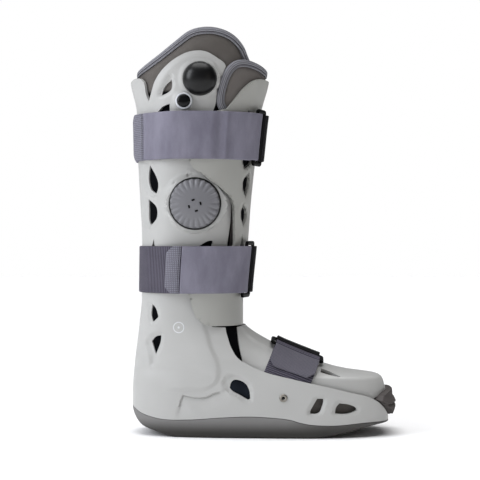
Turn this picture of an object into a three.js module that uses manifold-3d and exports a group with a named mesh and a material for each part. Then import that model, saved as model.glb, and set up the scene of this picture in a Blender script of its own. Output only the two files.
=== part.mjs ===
import * as THREE from "three";
import { mergeVertices } from "three/addons/utils/BufferGeometryUtils.js";
import Module from "manifold-3d";

const wasm = await Module();
wasm.setup();

// A medical walking boot in millimetres. X points to the toes, Z up, and the side with the pump is -Y.
// The origin is on the ground under the leg.

// Overall form
const bootLength = 279; // heel to toe of the sole
const shellHeight = 382; // ground to the top of the back shell
const calfWidth = 124; // over the shell at the calf
const ankleWidth = 100; // over the shell at the ankle
const footWidth = 114; // over the shell at the ball of the foot

// Walls, and the clearance that meeting pieces keep
const clearance = 0.3;
const shellWall = 3;
const calfPad = 7;
const shinPad = 5.8;
const footPad = 5.6;
const soleBevel = 2.5;
const soleBevelHeight = 8;
const bindingWidth = 8;
const bindingRise = 0.7; // how far the binding stands proud of the pad that it edges

// Straps and rings
const strapWidth = 50;
const pileThickness = 2.4;
const webbingThickness = 1.8;
const tabThickness = 2.2;
const ringBar = 3.4;
const ringBevel = 0.8;
const ringPitch = 16; // between the two bars that the straps go round
const strapTopHeight = shellHeight * 0.8377; // the leg straps cover the front shell's wings
const strapMiddleHeight = shellHeight * 0.4673;
const strapFootReach = 110; // from the leg axis to the middle of the foot strap
const strapFootTilt = THREE.MathUtils.degToRad(24.6);

// Pump, valve and dial
const bulbRadius = 18;
const bulbHeight = 13.5;
const bulbWall = 2.4;
const valveRadius = 9;
const valveDepth = 6;
const valveBore = 6.7;
const valveTravel = 2;
const dialRadius = 26;
const dialThickness = 9;
const dialFlutes = 24;
const gasketLip = 1.7;
const gasketThickness = 2.2;
const spindleRadius = 7;
const bossRise = 0.6; // how far a seat stands out from the shell's widest line
const bossMargin = 0.8; // how far a seat is wider than what sits on it
const bulbBossMargin = 1.6;
const bossRoot = -0.36 * calfWidth; // where a seat's solid starts, inside the shell

// Rivets
const rivetRadius = 4.5;
const rivetThickness = 1.4;

const roundSides = 24; // round the form, and round what seats on it
const smallSides = 12;
const hollowSides = 16;
const overcut = 5; // how far a cutting solid reaches past what it cuts
const cutLevel = 1; // the same where a hollow starts just under another

// The form that the shells and pads follow, one row for each height. Heights are shares of shellHeight, the
// back and front ends shares of bootLength. Width adds up shares of calfWidth, ankleWidth and footWidth.
const formColumns = ["height", "back", "front", "calf", "ankle", "foot", "square", "spread"];
const formTable = [
  [-0.02, -0.247, 0.752, 0, 0, 1, 3, 0.12],
  [0.047, -0.249, 0.752, 0, 0, 1, 3, 0.12],
  [0.118, -0.249, 0.7615, 0, 0, 1, 3, 0.12],
  [0.162, -0.246, 0.749, 0, 0, 0.985, 2.9, 0.11],
  [0.177, -0.244, 0.7275, 0, 0, 0.97, 2.7, 0.08],
  [0.191, -0.243, 0.609, 0, 0, 0.955, 2.35, 0.03],
  [0.205, -0.241, 0.532, 0, 0, 0.94, 2.3, 0.01],
  [0.238, -0.236, 0.408, 0, 0.3, 0.65, 2.25, 0],
  [0.267, -0.23, 0.316, 0, 0.8, 0.2, 2.3, 0],
  [0.319, -0.222, 0.206, 0, 1, 0, 2.4, 0],
  [0.38, -0.2138, 0.161, 0.02, 0.98, 0, 2.4, 0],
  [0.55, -0.2125, 0.181, 0.42, 0.58, 0, 2.3, 0],
  [0.655, -0.2195, 0.1915, 0.67, 0.33, 0, 2.2, 0],
  [0.765, -0.2275, 0.207, 0.88, 0.12, 0, 2.15, 0],
  [0.916, -0.234, 0.2315, 1, 0, 0, 2.1, 0],
  [1, -0.2577, 0.2617, 1.01, 0, 0, 2.1, 0],
  [1.052, -0.262, 0.272, 1, 0, 0, 2.1, 0],
  [1.16, -0.262, 0.272, 0.97, 0, 0, 2.1, 0],
].map((row) => Object.fromEntries(formColumns.map((name, i) => [name, row[i]])));

// Where a piece leaves the form: the leg pieces run straight down inside the foot, and the calf pad
// doesn't follow the flared back lip.
const wholeForm = { front: Infinity, back: -Infinity };
const legForm = { front: 0.161, back: -Infinity };
const linerForm = { front: 0.161, back: -0.244 };
const legStart = 0.38;

// Side views, each point as shares of bootLength and shellHeight
const jointLine = [
  [-0.3, 0.086], [-0.255, 0.082], [-0.208, 0.063], [-0.17, 0.055], [-0.132, 0.05], [-0.03, 0.05],
  [0.097, 0.057], [0.21, 0.0605], [0.305, 0.057], [0.362, 0.052], [0.4, 0.044], [0.45, 0.038],
  [0.514, 0.036], [0.667, 0.042], [0.8, 0.039],
];
const soleUnderside = [
  [0.8, 0.0345], [0.697, 0.0325], [0.628, 0.0235], [0.552, 0.011], [0.5, 0.004], [0.45, 0],
  [-0.075, 0], [-0.105, 0.004], [-0.145, 0.012], [-0.204, 0.024], [-0.222, 0.031], [-0.24, 0.047],
  [-0.25, 0.075], [-0.3, 0.079],
];
const trayEdge = [
  [0.117, 0.306], [0.119, 0.295], [0.126, 0.278], [0.134, 0.259], [0.145, 0.242], [0.157, 0.228],
  [0.172, 0.217], [0.199, 0.206], [0.248, 0.189], [0.381, 0.163], [0.514, 0.141], [0.59, 0.127],
  [0.669, 0.111], [0.696, 0.1], [0.729, 0.076], [0.752, 0.046], [0.8, 0.042],
];
const earAndLip = [
  [-0.3, 0.999], [-0.258, 0.999], [-0.235, 1.004], [-0.214, 1.002], [-0.201, 0.994], [-0.185, 0.95],
  [-0.175, 0.936], [-0.168, 0.955], [-0.152, 0.99], [-0.116, 1.026], [-0.07, 1.052], [-0.017, 1.069],
  [0.04, 1.07], [0.089, 1.051], [0.112, 1.04],
];
const columnFrontEdge = [
  [0.119, 1.03], [0.098, 0.992], [0.089, 0.97], [0.083, 0.948], [0.08, 0.926], [0.068, 0.9],
  [0.055, 0.86], [0.07, 0.8], [0.1, 0.74], [0.125, 0.7], [0.139, 0.655], [0.138, 0.633],
  [0.136, 0.605], [0.131, 0.577], [0.123, 0.533], [0.12, 0.48], [0.11, 0.4], [0.065, 0.345],
  [0.065, 0.308],
];
const frontShellTop = [
  [0.33, 1.002], [0.285, 1.002], [0.249, 1.0005], [0.227, 0.994], [0.2, 0.978], [0.18, 0.963],
  [0.163, 0.947], [0.125, 0.912],
];
const upperWing = [
  [0.06, 0.9], [0, 0.885], [-0.035, 0.866], [-0.05, 0.84], [-0.045, 0.8], [-0.018, 0.769],
  [-0.01, 0.755], [0.005, 0.742], [0.032, 0.731], [0.057, 0.715], [0.09, 0.699], [0.115, 0.683],
  [0.134, 0.67], [0.143, 0.659], [0.148, 0.643], [0.147, 0.619], [0.145, 0.576], [0.137, 0.534],
];
const lowerWing = [
  [0.1, 0.515], [0.04, 0.5], [-0.02, 0.485], [-0.04, 0.46], [-0.035, 0.43], [-0.022, 0.398],
  [-0.016, 0.384], [-0.0065, 0.36], [0.001, 0.342], [0.017, 0.328], [0.032, 0.3175], [0.057, 0.3115],
  [0.097, 0.3105], [0.33, 0.3105],
];
const instepRear = [
  [0.183, 0.195], [0.1807, 0.213], [0.177, 0.227], [0.172, 0.243], [0.1655, 0.28], [0.163, 0.307],
];
const instepTop = [[0.205, 0.307], [0.34, 0.33], [0.82, 0.26], [0.82, 0.127]];
const visorEdge = [[0.74, 0.126], [0.721, 0.118], [0.69, 0.1085]];
const linerTop = [
  [-0.31, 1.02], [-0.233, 1.032], [-0.154, 1.062], [-0.075, 1.103], [-0.017, 1.132], [0.04, 1.141],
  [0.096, 1.138], [0.153, 1.121], [0.191, 1.091], [0.212, 1.055], [0.235, 1.03], [0.33, 1.02],
];
const flapEdge = [
  [0.104, 0.899], [0.086, 0.926], [0.087, 0.948], [0.102, 0.992], [0.123, 1.025], [0.157, 1.047],
  [0.199, 1.052], [0.241, 1.046], [0.284, 1.034], [0.34, 1.026],
];
const flapHiddenEdge = [
  [0.34, 0.33], [0.13, 0.33], [0.131, 0.4], [0.14, 0.5], [0.146, 0.577], [0.151, 0.62],
  [0.152, 0.66], [0.142, 0.7], [0.117, 0.74], [0.088, 0.8], [0.08, 0.85], [0.088, 0.885],
];
const columnWindows = [
  [[-0.179, 0.76], [-0.162, 0.732], [-0.148, 0.709], [-0.152, 0.68], [-0.173, 0.695], [-0.182, 0.732]],
  [[-0.185, 0.663], [-0.153, 0.638], [-0.151, 0.625], [-0.174, 0.59], [-0.18, 0.6], [-0.183, 0.64]],
  [[-0.157, 0.553], [-0.151, 0.5], [-0.151, 0.402], [-0.158, 0.402], [-0.17, 0.522]],
  [[-0.176, 0.37], [-0.155, 0.353], [-0.145, 0.336], [-0.166, 0.319], [-0.172, 0.339]],
  [[-0.174, 0.269], [-0.143, 0.281], [-0.136, 0.28], [-0.145, 0.249], [-0.157, 0.229], [-0.166, 0.241]],
  [[-0.09, 0.996], [-0.088, 0.979], [-0.092, 0.966], [-0.128, 0.95], [-0.132, 0.952], [-0.117, 0.977]],
  [[-0.094, 0.926], [-0.093, 0.85], [-0.1, 0.8], [-0.133, 0.769], [-0.136, 0.908], [-0.121, 0.919]],
  [[0.017, 0.533], [0.062, 0.548], [0.07, 0.547], [0.055, 0.51], [0.025, 0.5]],
];
const footWindows = [
  [
    [0.138, 0.155], [0.157, 0.162], [0.195, 0.15], [0.208, 0.125], [0.209, 0.104], [0.172, 0.117],
    [0.134, 0.138],
  ], [
    [0.465, 0.11], [0.486, 0.111], [0.488, 0.107], [0.475, 0.074], [0.467, 0.069], [0.437, 0.068],
    [0.437, 0.074],
  ], [
    [0.544, 0.098], [0.57, 0.098], [0.597, 0.09], [0.617, 0.078], [0.612, 0.072], [0.559, 0.067],
    [0.533, 0.067],
  ],
];
const shinWindows = [
  [[0.205, 0.913], [0.212, 0.901], [0.209, 0.764], [0.193, 0.751], [0.185, 0.764], [0.199, 0.901]],
  [[0.207, 0.733], [0.206, 0.7], [0.196, 0.673], [0.186, 0.701]],
  [[0.185, 0.646], [0.192, 0.628], [0.189, 0.59], [0.18, 0.623]],
  [[0.18, 0.56], [0.184, 0.536], [0.182, 0.42], [0.172, 0.42], [0.176, 0.536]],
];
const instepSlit = [[0.483, 0.188], [0.486, 0.184], [0.556, 0.164], [0.558, 0.1655]];
const rivetPlace = [0.336, 0.113];
const bulbPlace = [0.0204, 0.9937];
const valvePlace = [-0.0391, 0.9314];
const dialPlace = [0.0022, 0.6497];
const toeMouthOutline = [
  [0.704, 0.1015], [0.717, 0.092], [0.733, 0.079], [0.744, 0.064], [0.757, 0.0485], [0.82, 0.044],
  [0.82, 0.1245], [0.741, 0.1235], [0.723, 0.116],
];

// Solids and geometry

function solidOf(geometry) {
  const bare = new THREE.BufferGeometry();
  const source = geometry.index ? geometry.toNonIndexed() : geometry;
  bare.setAttribute("position", source.getAttribute("position"));
  const merged = mergeVertices(bare, 1e-4);
  const mesh = new wasm.Mesh({
    numProp: 3,
    vertProperties: merged.attributes.position.array,
    triVerts: new Uint32Array(merged.index.array),
  });
  return new wasm.Manifold(mesh);
}

function geometryOf(solid) {
  const mesh = solid.getMesh();
  const geometry = new THREE.BufferGeometry();
  const positions = new Float32Array(mesh.numVert * 3);
  for (let i = 0; i < mesh.numVert; i++) {
    const start = i * mesh.numProp;
    positions.set(mesh.vertProperties.subarray(start, start + 3), i * 3);
  }
  geometry.setAttribute("position", new THREE.BufferAttribute(positions, 3));
  geometry.setIndex(new THREE.BufferAttribute(new Uint32Array(mesh.triVerts), 1));
  geometry.computeVertexNormals();
  return geometry;
}

// A closed solid through rings with the same number of points, each end closed by a fan from its middle.
function loft(rings) {
  const count = rings[0].length;
  const points = rings.flat().flatMap((p) => [p.x, p.y, p.z]);
  const faces = [];
  rings.slice(1).forEach((ring, i) => {
    for (let j = 0; j < count; j++) {
      const next = (j + 1) % count;
      const [a, b] = [i * count + j, i * count + next];
      faces.push(a, b, b + count, a, b + count, a + count);
    }
  });
  [rings[0], rings.at(-1)].forEach((ring, end) => {
    const middle = ring.reduce((sum, p) => sum.add(p), new THREE.Vector3()).divideScalar(count);
    const hub = points.length / 3;
    points.push(middle.x, middle.y, middle.z);
    const start = end ? (rings.length - 1) * count : 0;
    for (let j = 0; j < count; j++) {
      const [a, b] = [start + j, start + ((j + 1) % count)];
      faces.push(...(end ? [hub, a, b] : [hub, b, a]));
    }
  });
  const geometry = new THREE.BufferGeometry();
  geometry.setAttribute("position", new THREE.Float32BufferAttribute(points, 3));
  geometry.setIndex(faces);
  return solidOf(geometry);
}

const sized = ([x, z]) => new THREE.Vector2(x * bootLength, z * shellHeight);

// A side view, in millimetres, as a slab across the boot.
function slab(outline, near = -calfWidth, far = calfWidth) {
  const points = outline.map((p) => p.clone());
  const shape = new THREE.Shape(points);
  const geometry = new THREE.ExtrudeGeometry(shape, { depth: far - near, bevelEnabled: false });
  geometry.rotateX(Math.PI / 2);
  geometry.translate(0, far, 0);
  return solidOf(geometry);
}

// A line moved sideways, to its left as it runs.
function besides(line, distance) {
  return line.map((p, i) => {
    const before = line[Math.max(i - 1, 0)];
    const after = line[Math.min(i + 1, line.length - 1)];
    const run = after.clone().sub(before).normalize();
    return new THREE.Vector2(p.x - run.y * distance, p.y + run.x * distance);
  });
}

// The form at a height, moved outwards by a level

const mix = THREE.MathUtils.lerp;

function endLine(end) {
  return formTable.map((row) => new THREE.Vector2(row[end] * bootLength, row.height * shellHeight));
}
const endLines = { back: endLine("back"), front: endLine("front") };

function endAt(end, height, level) {
  const line = besides(endLines[end], end === "back" ? level : -level);
  const next = line.findIndex((p, i) => i > 0 && p.y >= height);
  const above = line[next < 0 ? line.length - 1 : next];
  const below = line[next < 0 ? line.length - 2 : next - 1];
  return mix(below.x, above.x, (height - below.y) / (above.y - below.y));
}

function sectionAt(height, level, form = wholeForm) {
  const share = height / shellHeight;
  const next = Math.max(1, formTable.findIndex((row) => row.height >= share));
  const [below, above] = [formTable[next - 1], formTable[next]];
  const part = (share - below.height) / (above.height - below.height);
  const value = (name) => mix(below[name], above[name], part);
  const halfWidth = (value("calf") * calfWidth + value("ankle") * ankleWidth + value("foot") * footWidth) / 2;
  let front = endAt("front", height, level);
  if (share < legStart) front = Math.min(front, form.front * bootLength + level);
  const back = Math.max(endAt("back", height, level), form.back * bootLength - level);
  return {
    middle: (front + back) / 2,
    reach: (front - back) / 2,
    halfWidth: halfWidth + level,
    square: value("square"),
    spread: value("spread"),
  };
}

function formPoint(height, angle, level, form) {
  const section = sectionAt(height, level, form);
  const power = 2 / section.square;
  const along = Math.sign(Math.cos(angle)) * Math.abs(Math.cos(angle)) ** power;
  const across = Math.sign(Math.sin(angle)) * Math.abs(Math.sin(angle)) ** power;
  const x = section.middle + section.reach * along;
  const y = section.halfWidth * across * (1 + section.spread * along);
  return new THREE.Vector3(x, y, height);
}

function formRing(height, level, form, sides = roundSides) {
  const turns = Array.from({ length: sides }, (_, i) => (i / sides) * 2 * Math.PI);
  return turns.map((angle) => formPoint(height, angle, level, form));
}

const rowGap = 1; // a row of the table this close to an end is left to that end

function formSolid(level, low, high, form = wholeForm, sides = roundSides) {
  const rows = formTable.map((row) => row.height * shellHeight);
  const between = rows.filter((z) => z > low + rowGap && z < high - rowGap);
  return loft([low, ...between, high].map((z) => formRing(z, level, form, sides)));
}

// Half the width of the form at a place in the side view.
function widthAt(x, height, level, form) {
  const section = sectionAt(height, level, form);
  const along = (x - section.middle) / section.reach;
  if (Math.abs(along) >= 1) return 0;
  const across = (1 - Math.abs(along) ** section.square) ** (1 / section.square);
  return section.halfWidth * across * (1 + section.spread * along);
}

// Where a line from inside the form leaves it, found by halving.
const halvings = 30;

function leavesForm(from, direction, level) {
  let [near, far] = [0, calfWidth];
  for (let i = 0; i < halvings; i++) {
    const reach = (near + far) / 2;
    const p = from.clone().addScaledVector(direction, reach);
    const inside = Math.abs(p.y) < widthAt(p.x, p.z, level, wholeForm);
    if (inside) near = reach;
    else far = reach;
  }
  return from.clone().addScaledVector(direction, near);
}

// A cylinder across the boot, from an inner y to an outer one, round a place in the side view.
function acrossCylinder(radius, innerY, outerY, centre, sides = smallSides) {
  const geometry = new THREE.CylinderGeometry(radius, radius, Math.abs(outerY - innerY), sides);
  geometry.translate(centre.x, (innerY + outerY) / 2, centre.y);
  return geometry;
}

// The colours and the finish of each piece
const finishes = {
  shell: { color: 0xb9bbbe, roughness: 0.45, metalness: 0 },
  shadedShell: { color: 0xa4a5a0, roughness: 0.45, metalness: 0 },
  sole: { color: 0x8a8988, roughness: 0.8, metalness: 0 },
  liner: { color: 0x6e6967, roughness: 0.95, metalness: 0 },
  binding: { color: 0x8b8a91, roughness: 0.9, metalness: 0 },
  pile: { color: 0x7d7a88, roughness: 0.95, metalness: 0 },
  webbing: { color: 0x57525e, roughness: 0.9, metalness: 0 },
  tab: { color: 0x85828f, roughness: 0.85, metalness: 0 },
  blackPlastic: { color: 0x0c0c0d, roughness: 0.35, metalness: 0 },
  blackRubber: { color: 0x1a1a1c, roughness: 0.6, metalness: 0 },
  lightPlastic: { color: 0xd0d2d4, roughness: 0.4, metalness: 0 },
  dial: { color: 0x77777a, roughness: 0.5, metalness: 0 },
  nickel: { color: 0xb5ada0, roughness: 0.3, metalness: 1 },
};

const boot = new THREE.Group();

function addPiece(name, finish, shape) {
  const geometry = shape.isBufferGeometry ? shape : geometryOf(shape);
  const mesh = new THREE.Mesh(geometry, new THREE.MeshStandardMaterial(finishes[finish]));
  mesh.name = name;
  boot.add(mesh);
  return mesh;
}

const formTop = shellHeight * 1.15;
const formBottom = -2;
const legPieceStart = shellHeight * 0.28; // below the front shell and the shin liner
const instepRoof = shellHeight * 0.33; // above the instep shell
const joint = jointLine.map(sized);
const raised = (line, rise) => line.map((p) => new THREE.Vector2(p.x, p.y + rise));
const overheadHeight = formTop + 10 * overcut;
const overhead = [
  new THREE.Vector2(bootLength, overheadHeight),
  new THREE.Vector2(-bootLength, overheadHeight),
];
const aboveJoint = (rise) => slab([...raised(joint, rise), ...overhead]);

// Rocker sole
const solePlan = loft([
  formRing(0, -soleBevel),
  formRing(soleBevelHeight, 0),
  formRing(shellHeight * 0.1, 0),
]);
const soleSide = slab([...joint, ...soleUnderside.map(sized)].reverse());
addPiece("rocker_sole", "sole", solePlan.intersect(soleSide));

// Base shell: foot tray, rear column, ears and back lip in one moulding
const gasketRadius = dialRadius + gasketLip;
const [bulbCentre, valveCentre, dialCentre] = [bulbPlace, valvePlace, dialPlace].map(sized);
const seatFace = ({ x, y: z }, radius) => -Math.max(widthAt(x, z + radius, 0), widthAt(x, z, 0)) - bossRise;
const dialSeat = seatFace(dialCentre, gasketRadius);
const bulbSeat = seatFace(bulbCentre, bulbRadius);
const valveSeat = seatFace(valveCentre, valveRadius);
const bosses = [
  acrossCylinder(gasketRadius + bossMargin, bossRoot, dialSeat, dialCentre, roundSides),
  acrossCylinder(bulbRadius + bulbBossMargin, bossRoot, bulbSeat, bulbCentre, roundSides),
  acrossCylinder(valveRadius + bossMargin, bossRoot, valveSeat, valveCentre),
].map(solidOf);
const baseSide = [
  ...raised(joint, clearance),
  ...[...trayEdge].reverse().map(sized),
  ...[...columnFrontEdge].reverse().map(sized),
  ...[...earAndLip].reverse().map(sized),
];
let baseShell = formSolid(0, formBottom, formTop).intersect(slab(baseSide));
baseShell = bosses.reduce((shell, boss) => shell.add(boss), baseShell);
const shellHollow = formSolid(-shellWall, cutLevel, formTop).intersect(aboveJoint(clearance + shellWall));
baseShell = baseShell.subtract(shellHollow);
for (const outline of [...columnWindows, ...footWindows]) {
  baseShell = baseShell.subtract(slab(outline.map(sized)));
}
const spindleBore = acrossCylinder(spindleRadius + clearance, 0, dialSeat - overcut, dialCentre);
baseShell = baseShell.subtract(solidOf(spindleBore));
addPiece("base_shell", "shell", baseShell);

// Front shell, outside the rear column
const frontShellGap = 0.5; // between the column and the front shell
const frontShellLevel = frontShellGap + shellWall;
const frontSide = [...frontShellTop, ...upperWing, ...lowerWing].map(sized);
let frontShell = formSolid(frontShellLevel + shellWall, legPieceStart, formTop, legForm);
const frontHollow = formSolid(frontShellLevel, legPieceStart - overcut, formTop + overcut, legForm);
frontShell = frontShell.subtract(frontHollow);
frontShell = frontShell.intersect(slab(frontSide));
for (const outline of shinWindows) frontShell = frontShell.subtract(slab(outline.map(sized)));
addPiece("front_shell", "shadedShell", frontShell);

// Instep shell, inside the tray's edge with room for the foot strap between them
const instepRoom = 0.8; // what the foot strap has to spare between tray and instep shell
const instepLevel = -(shellWall + webbingThickness + instepRoom);
const instepLap = shellHeight * 0.021; // how far it reaches down inside the tray
const [skirtStart, skirtEnd] = [0.19, 0.68]; // shares of bootLength
const skirt = trayEdge.filter(([x]) => x > skirtStart && x < skirtEnd).map(sized);
const instepSide = [
  ...instepRear.map(sized),
  ...instepTop.map(sized),
  ...visorEdge.map(sized),
  ...raised(skirt, -instepLap).reverse(),
];
let instepShell = formSolid(instepLevel, formBottom, instepRoof);
const instepHollow = formSolid(instepLevel - shellWall, formBottom - overcut, instepRoof + overcut);
instepShell = instepShell.subtract(instepHollow);
instepShell = instepShell.intersect(slab(instepSide));
instepShell = instepShell.subtract(slab(instepSlit.map(sized)));
addPiece("instep_shell", "shell", instepShell);

// Foot liner: level with the shell round the heel, and inside the instep shell ahead of it
const footLinerRoof = 0.3085 * shellHeight;
const heelSplit = 0.154 * bootLength;
const padGap = 0.48; // between a pad and the shell that it lines
const hollowStep = 2; // how far the heel's hollow ends short of its outer form
const heelPadLevel = -(shellWall + padGap);
const instepPadLevel = instepLevel - shellWall - padGap;
function behind(x) {
  const rectangle = [[-bootLength, -shellHeight], [x, -shellHeight], [x, formTop], [-bootLength, formTop]];
  return slab(rectangle.map(([a, b]) => new THREE.Vector2(a, b)));
}
function footForm(heelLevel, foreLevel, split, roof, sides) {
  const heel = formSolid(heelLevel, 0, roof, wholeForm, sides).intersect(behind(split));
  return formSolid(foreLevel, 0, roof, wholeForm, sides).add(heel);
}
const footOuter = footForm(heelPadLevel, instepPadLevel, heelSplit, footLinerRoof, roundSides);
const [heelHollow, foreHollow] = [heelPadLevel - footPad, instepPadLevel - footPad];
const hollowRoof = footLinerRoof + cutLevel;
const footInner = footForm(heelHollow, foreHollow, heelSplit - hollowStep, hollowRoof, hollowSides);
const footFloor = clearance * 2 + shellWall;
let footLiner = footOuter.intersect(aboveJoint(footFloor));
footLiner = footLiner.subtract(footInner.intersect(aboveJoint(footFloor + footPad)));
addPiece("foot_liner", "liner", footLiner);

// Toe pad: the rolled end of the liner between the visor and the tray
const toePadBulge = 7.2;
const toePadMiddle = 0.096 * shellHeight;
const toePadHalf = 0.05 * shellHeight;
const toePadFlatness = 0.9; // 1 would round it right to the middle
const toePadInset = 1.5; // how far it reaches over the foot liner's wall
const toeRings = [-1, -0.8, -0.5, 0, 0.5, 0.8, 1].map((share) => {
  const bulge = toePadBulge * Math.sqrt(1 - toePadFlatness * share * share);
  return formRing(toePadMiddle + share * toePadHalf, bulge);
});
const toeMouth = slab(toeMouthOutline.map(sized));
const toePadBack = formSolid(instepPadLevel + toePadInset, formBottom, shellHeight * 0.2);
addPiece("toe_pad", "liner", loft(toeRings).subtract(toePadBack).intersect(toeMouth));

// Calf liner and its binding
const linerLevel = heelPadLevel;
const linerInner = linerLevel - calfPad;
const linerFoot = footLinerRoof + clearance;
const linerEdge = linerTop.map(sized);
const belowLine = (line) => slab([
  new THREE.Vector2(-bootLength, -overcut),
  new THREE.Vector2(bootLength, -overcut),
  new THREE.Vector2(bootLength, line.at(-1).y),
  ...[...line].reverse(),
  new THREE.Vector2(-bootLength, line[0].y),
]);
const calfTube = (outer, inner) => formSolid(outer, linerFoot, formTop, linerForm)
  .intersect(formSolid(outer, linerFoot - overcut, formTop + overcut))
  .subtract(formSolid(inner, linerFoot - overcut, formTop + overcut, linerForm, hollowSides));
const calfPadTop = besides(linerEdge, -bindingWidth);
addPiece("calf_liner", "liner", calfTube(linerLevel, linerInner).intersect(belowLine(calfPadTop)));
const calfBindingStart = besides(linerEdge, clearance - bindingWidth);
const calfBinding = calfTube(linerLevel + bindingRise, linerInner - bindingRise)
  .intersect(belowLine(linerEdge))
  .subtract(belowLine(calfBindingStart));
addPiece("calf_liner_binding", "binding", calfBinding);

// Shin liner and its binding, outside the calf liner and inside the front shell
const shinOuter = frontShellLevel - clearance - bindingRise;
const shinInner = Math.max(shinOuter - shinPad, linerLevel + clearance + bindingRise);
const shinForm = (outer, inner) => formSolid(outer, legPieceStart, formTop, legForm)
  .subtract(formSolid(inner, legPieceStart - overcut, formTop + overcut, legForm));
const flapLine = flapEdge.map(sized);
const flapBack = flapHiddenEdge.map(sized);
const padLine = besides(flapLine, -bindingWidth);
const shinSide = slab([...padLine, ...flapBack].reverse());
addPiece("shin_liner", "liner", shinForm(shinOuter, shinInner).intersect(shinSide));
const bindingLine = besides(flapLine, clearance - bindingWidth);
const flapBinding = shinForm(shinOuter + bindingRise, shinInner)
  .intersect(slab([...flapLine, ...[...bindingLine].reverse()].reverse()));
addPiece("shin_liner_binding", "binding", flapBinding);

// Pump bulb: an open rubber dome
const domeSteps = 4;
const domeArc = (radius, height) => Array.from({ length: domeSteps + 1 }, (_, i) => {
  const angle = (i / domeSteps) * (Math.PI / 2);
  return new THREE.Vector2(i < domeSteps ? radius * Math.cos(angle) : 0, height * Math.sin(angle));
});
const domeOuter = domeArc(bulbRadius, bulbHeight);
const domeInner = domeArc(bulbRadius - bulbWall, bulbHeight - bulbWall).reverse();
function turned(profile, sides) {
  const geometry = new THREE.LatheGeometry(profile, sides);
  const solid = solidOf(geometry);
  if (solid.volume() > 0) return geometryOf(solid);
  return geometryOf(solidOf(new THREE.LatheGeometry([...profile].reverse(), sides)));
}
// A piece turned round its own Y axis, set on a seat of the near side.
function facingOut(name, finish, shape, centre, seat) {
  const mesh = addPiece(name, finish, shape);
  mesh.rotation.x = Math.PI;
  mesh.position.set(centre.x, seat - clearance, centre.y);
}
const bulb = turned([...domeOuter, ...domeInner, domeOuter[0].clone()], roundSides);
facingOut("pump_bulb", "blackRubber", bulb, bulbCentre, bulbSeat);

// Release valve: a light ring with a button that is pressed in
const valveBevel = 2.4;
const buttonRise = 0.6; // the button's rim over the ring
const buttonCrown = 1.7; // its middle over its rim
const buttonFlat = 0.8; // share of its radius where the crown starts
const ringProfile = [
  [valveBore, 0], [valveRadius, 0], [valveRadius, valveDepth - valveBevel], [valveRadius - 1, valveDepth],
  [valveBore, valveDepth], [valveBore, 0],
].map(([r, h]) => new THREE.Vector2(r, h));
const valveRing = turned(ringProfile, smallSides);
facingOut("valve_ring", "lightPlastic", valveRing, valveCentre, valveSeat);
const buttonRadius = valveBore - clearance;
const buttonBase = valveTravel + clearance;
const buttonProfile = [
  [0, buttonBase], [buttonRadius, buttonBase], [buttonRadius, valveDepth + buttonRise],
  [buttonRadius * buttonFlat, valveDepth + buttonRise + 0.65 * buttonCrown],
  [0, valveDepth + buttonRise + buttonCrown],
].map(([r, h]) => new THREE.Vector2(r, h));
const valveButton = turned(buttonProfile, smallSides);
facingOut("valve_button", "blackPlastic", valveButton, valveCentre, valveSeat);

// Selector dial on its gasket, turning on a spindle in the shell
const gasketProfile = [
  [spindleRadius + clearance, 0], [gasketRadius, 0], [gasketRadius, gasketThickness],
  [spindleRadius + clearance, gasketThickness], [spindleRadius + clearance, 0],
].map(([r, h]) => new THREE.Vector2(r, h));
const gasket = turned(gasketProfile, roundSides);
facingOut("dial_gasket", "blackRubber", gasket, dialCentre, dialSeat);
const knobBase = gasketThickness + clearance;
const knobTop = knobBase + dialThickness;
const knobBevel = [1.5, 2]; // in from the side and down from the face
const knobProfile = [
  [0, -shellWall], [spindleRadius, -shellWall], [spindleRadius, knobBase], [dialRadius, knobBase],
  [dialRadius, knobTop - knobBevel[1]], [dialRadius - knobBevel[0], knobTop], [0, knobTop],
].map(([r, h]) => new THREE.Vector2(r, h));
let knob = solidOf(turned(knobProfile, dialFlutes));
const fluteRadius = 1.5;
const fluteInset = 0.4; // how far outside the knob a flute's middle lies
const fluteLength = dialThickness;
for (let i = 0; i < dialFlutes; i++) {
  const a = ((i + 0.5) / dialFlutes) * 2 * Math.PI;
  const flute = new THREE.CylinderGeometry(fluteRadius, fluteRadius, fluteLength, 5);
  flute.translate(dialRadius + fluteInset, knobTop - fluteLength * 0.3, 0);
  flute.rotateY(a);
  knob = knob.subtract(solidOf(flute));
}
const slotReach = 6.4;
const slotCount = 4;
const slotSize = [4, 4, 1.3]; // along the radius, in height, and across
const slotTurn = 0.55; // share of the pitch by which the first slot is turned
for (let i = 0; i < slotCount; i++) {
  const slot = new THREE.BoxGeometry(...slotSize);
  slot.translate(slotReach, knobTop, 0);
  slot.rotateY((i + slotTurn) * ((2 * Math.PI) / slotCount));
  knob = knob.subtract(solidOf(slot));
}
facingOut("dial_knob", "dial", knob, dialCentre, dialSeat);

// Straps. A band is a strip of cloth through stations, each with its place at three points of its width.
function band(stations, thickness) {
  const rings = stations.map((rows) => {
    const inner = rows.map(({ place, out }) => place.clone().addScaledVector(out, -thickness / 2));
    const outer = rows.map(({ place, out }) => place.clone().addScaledVector(out, thickness / 2));
    return [...inner, ...outer.reverse()];
  });
  const solid = loft(rings);
  return solid.volume() > 0 ? solid : loft([...rings].reverse());
}

const widthRows = [-0.5, 0, 0.5];
const nudge = 0.01;

// One place of a strap: how far round, how far out, and the directions there.
function strapPlace(path, row, turn, level) {
  const place = path(row, turn, level);
  const out = path(row, turn, level + 1).sub(place).normalize();
  const along = path(row, turn + nudge, level).sub(path(row, turn - nudge, level)).normalize();
  out.addScaledVector(along, -out.dot(along)).normalize();
  return { place, out, along };
}

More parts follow.
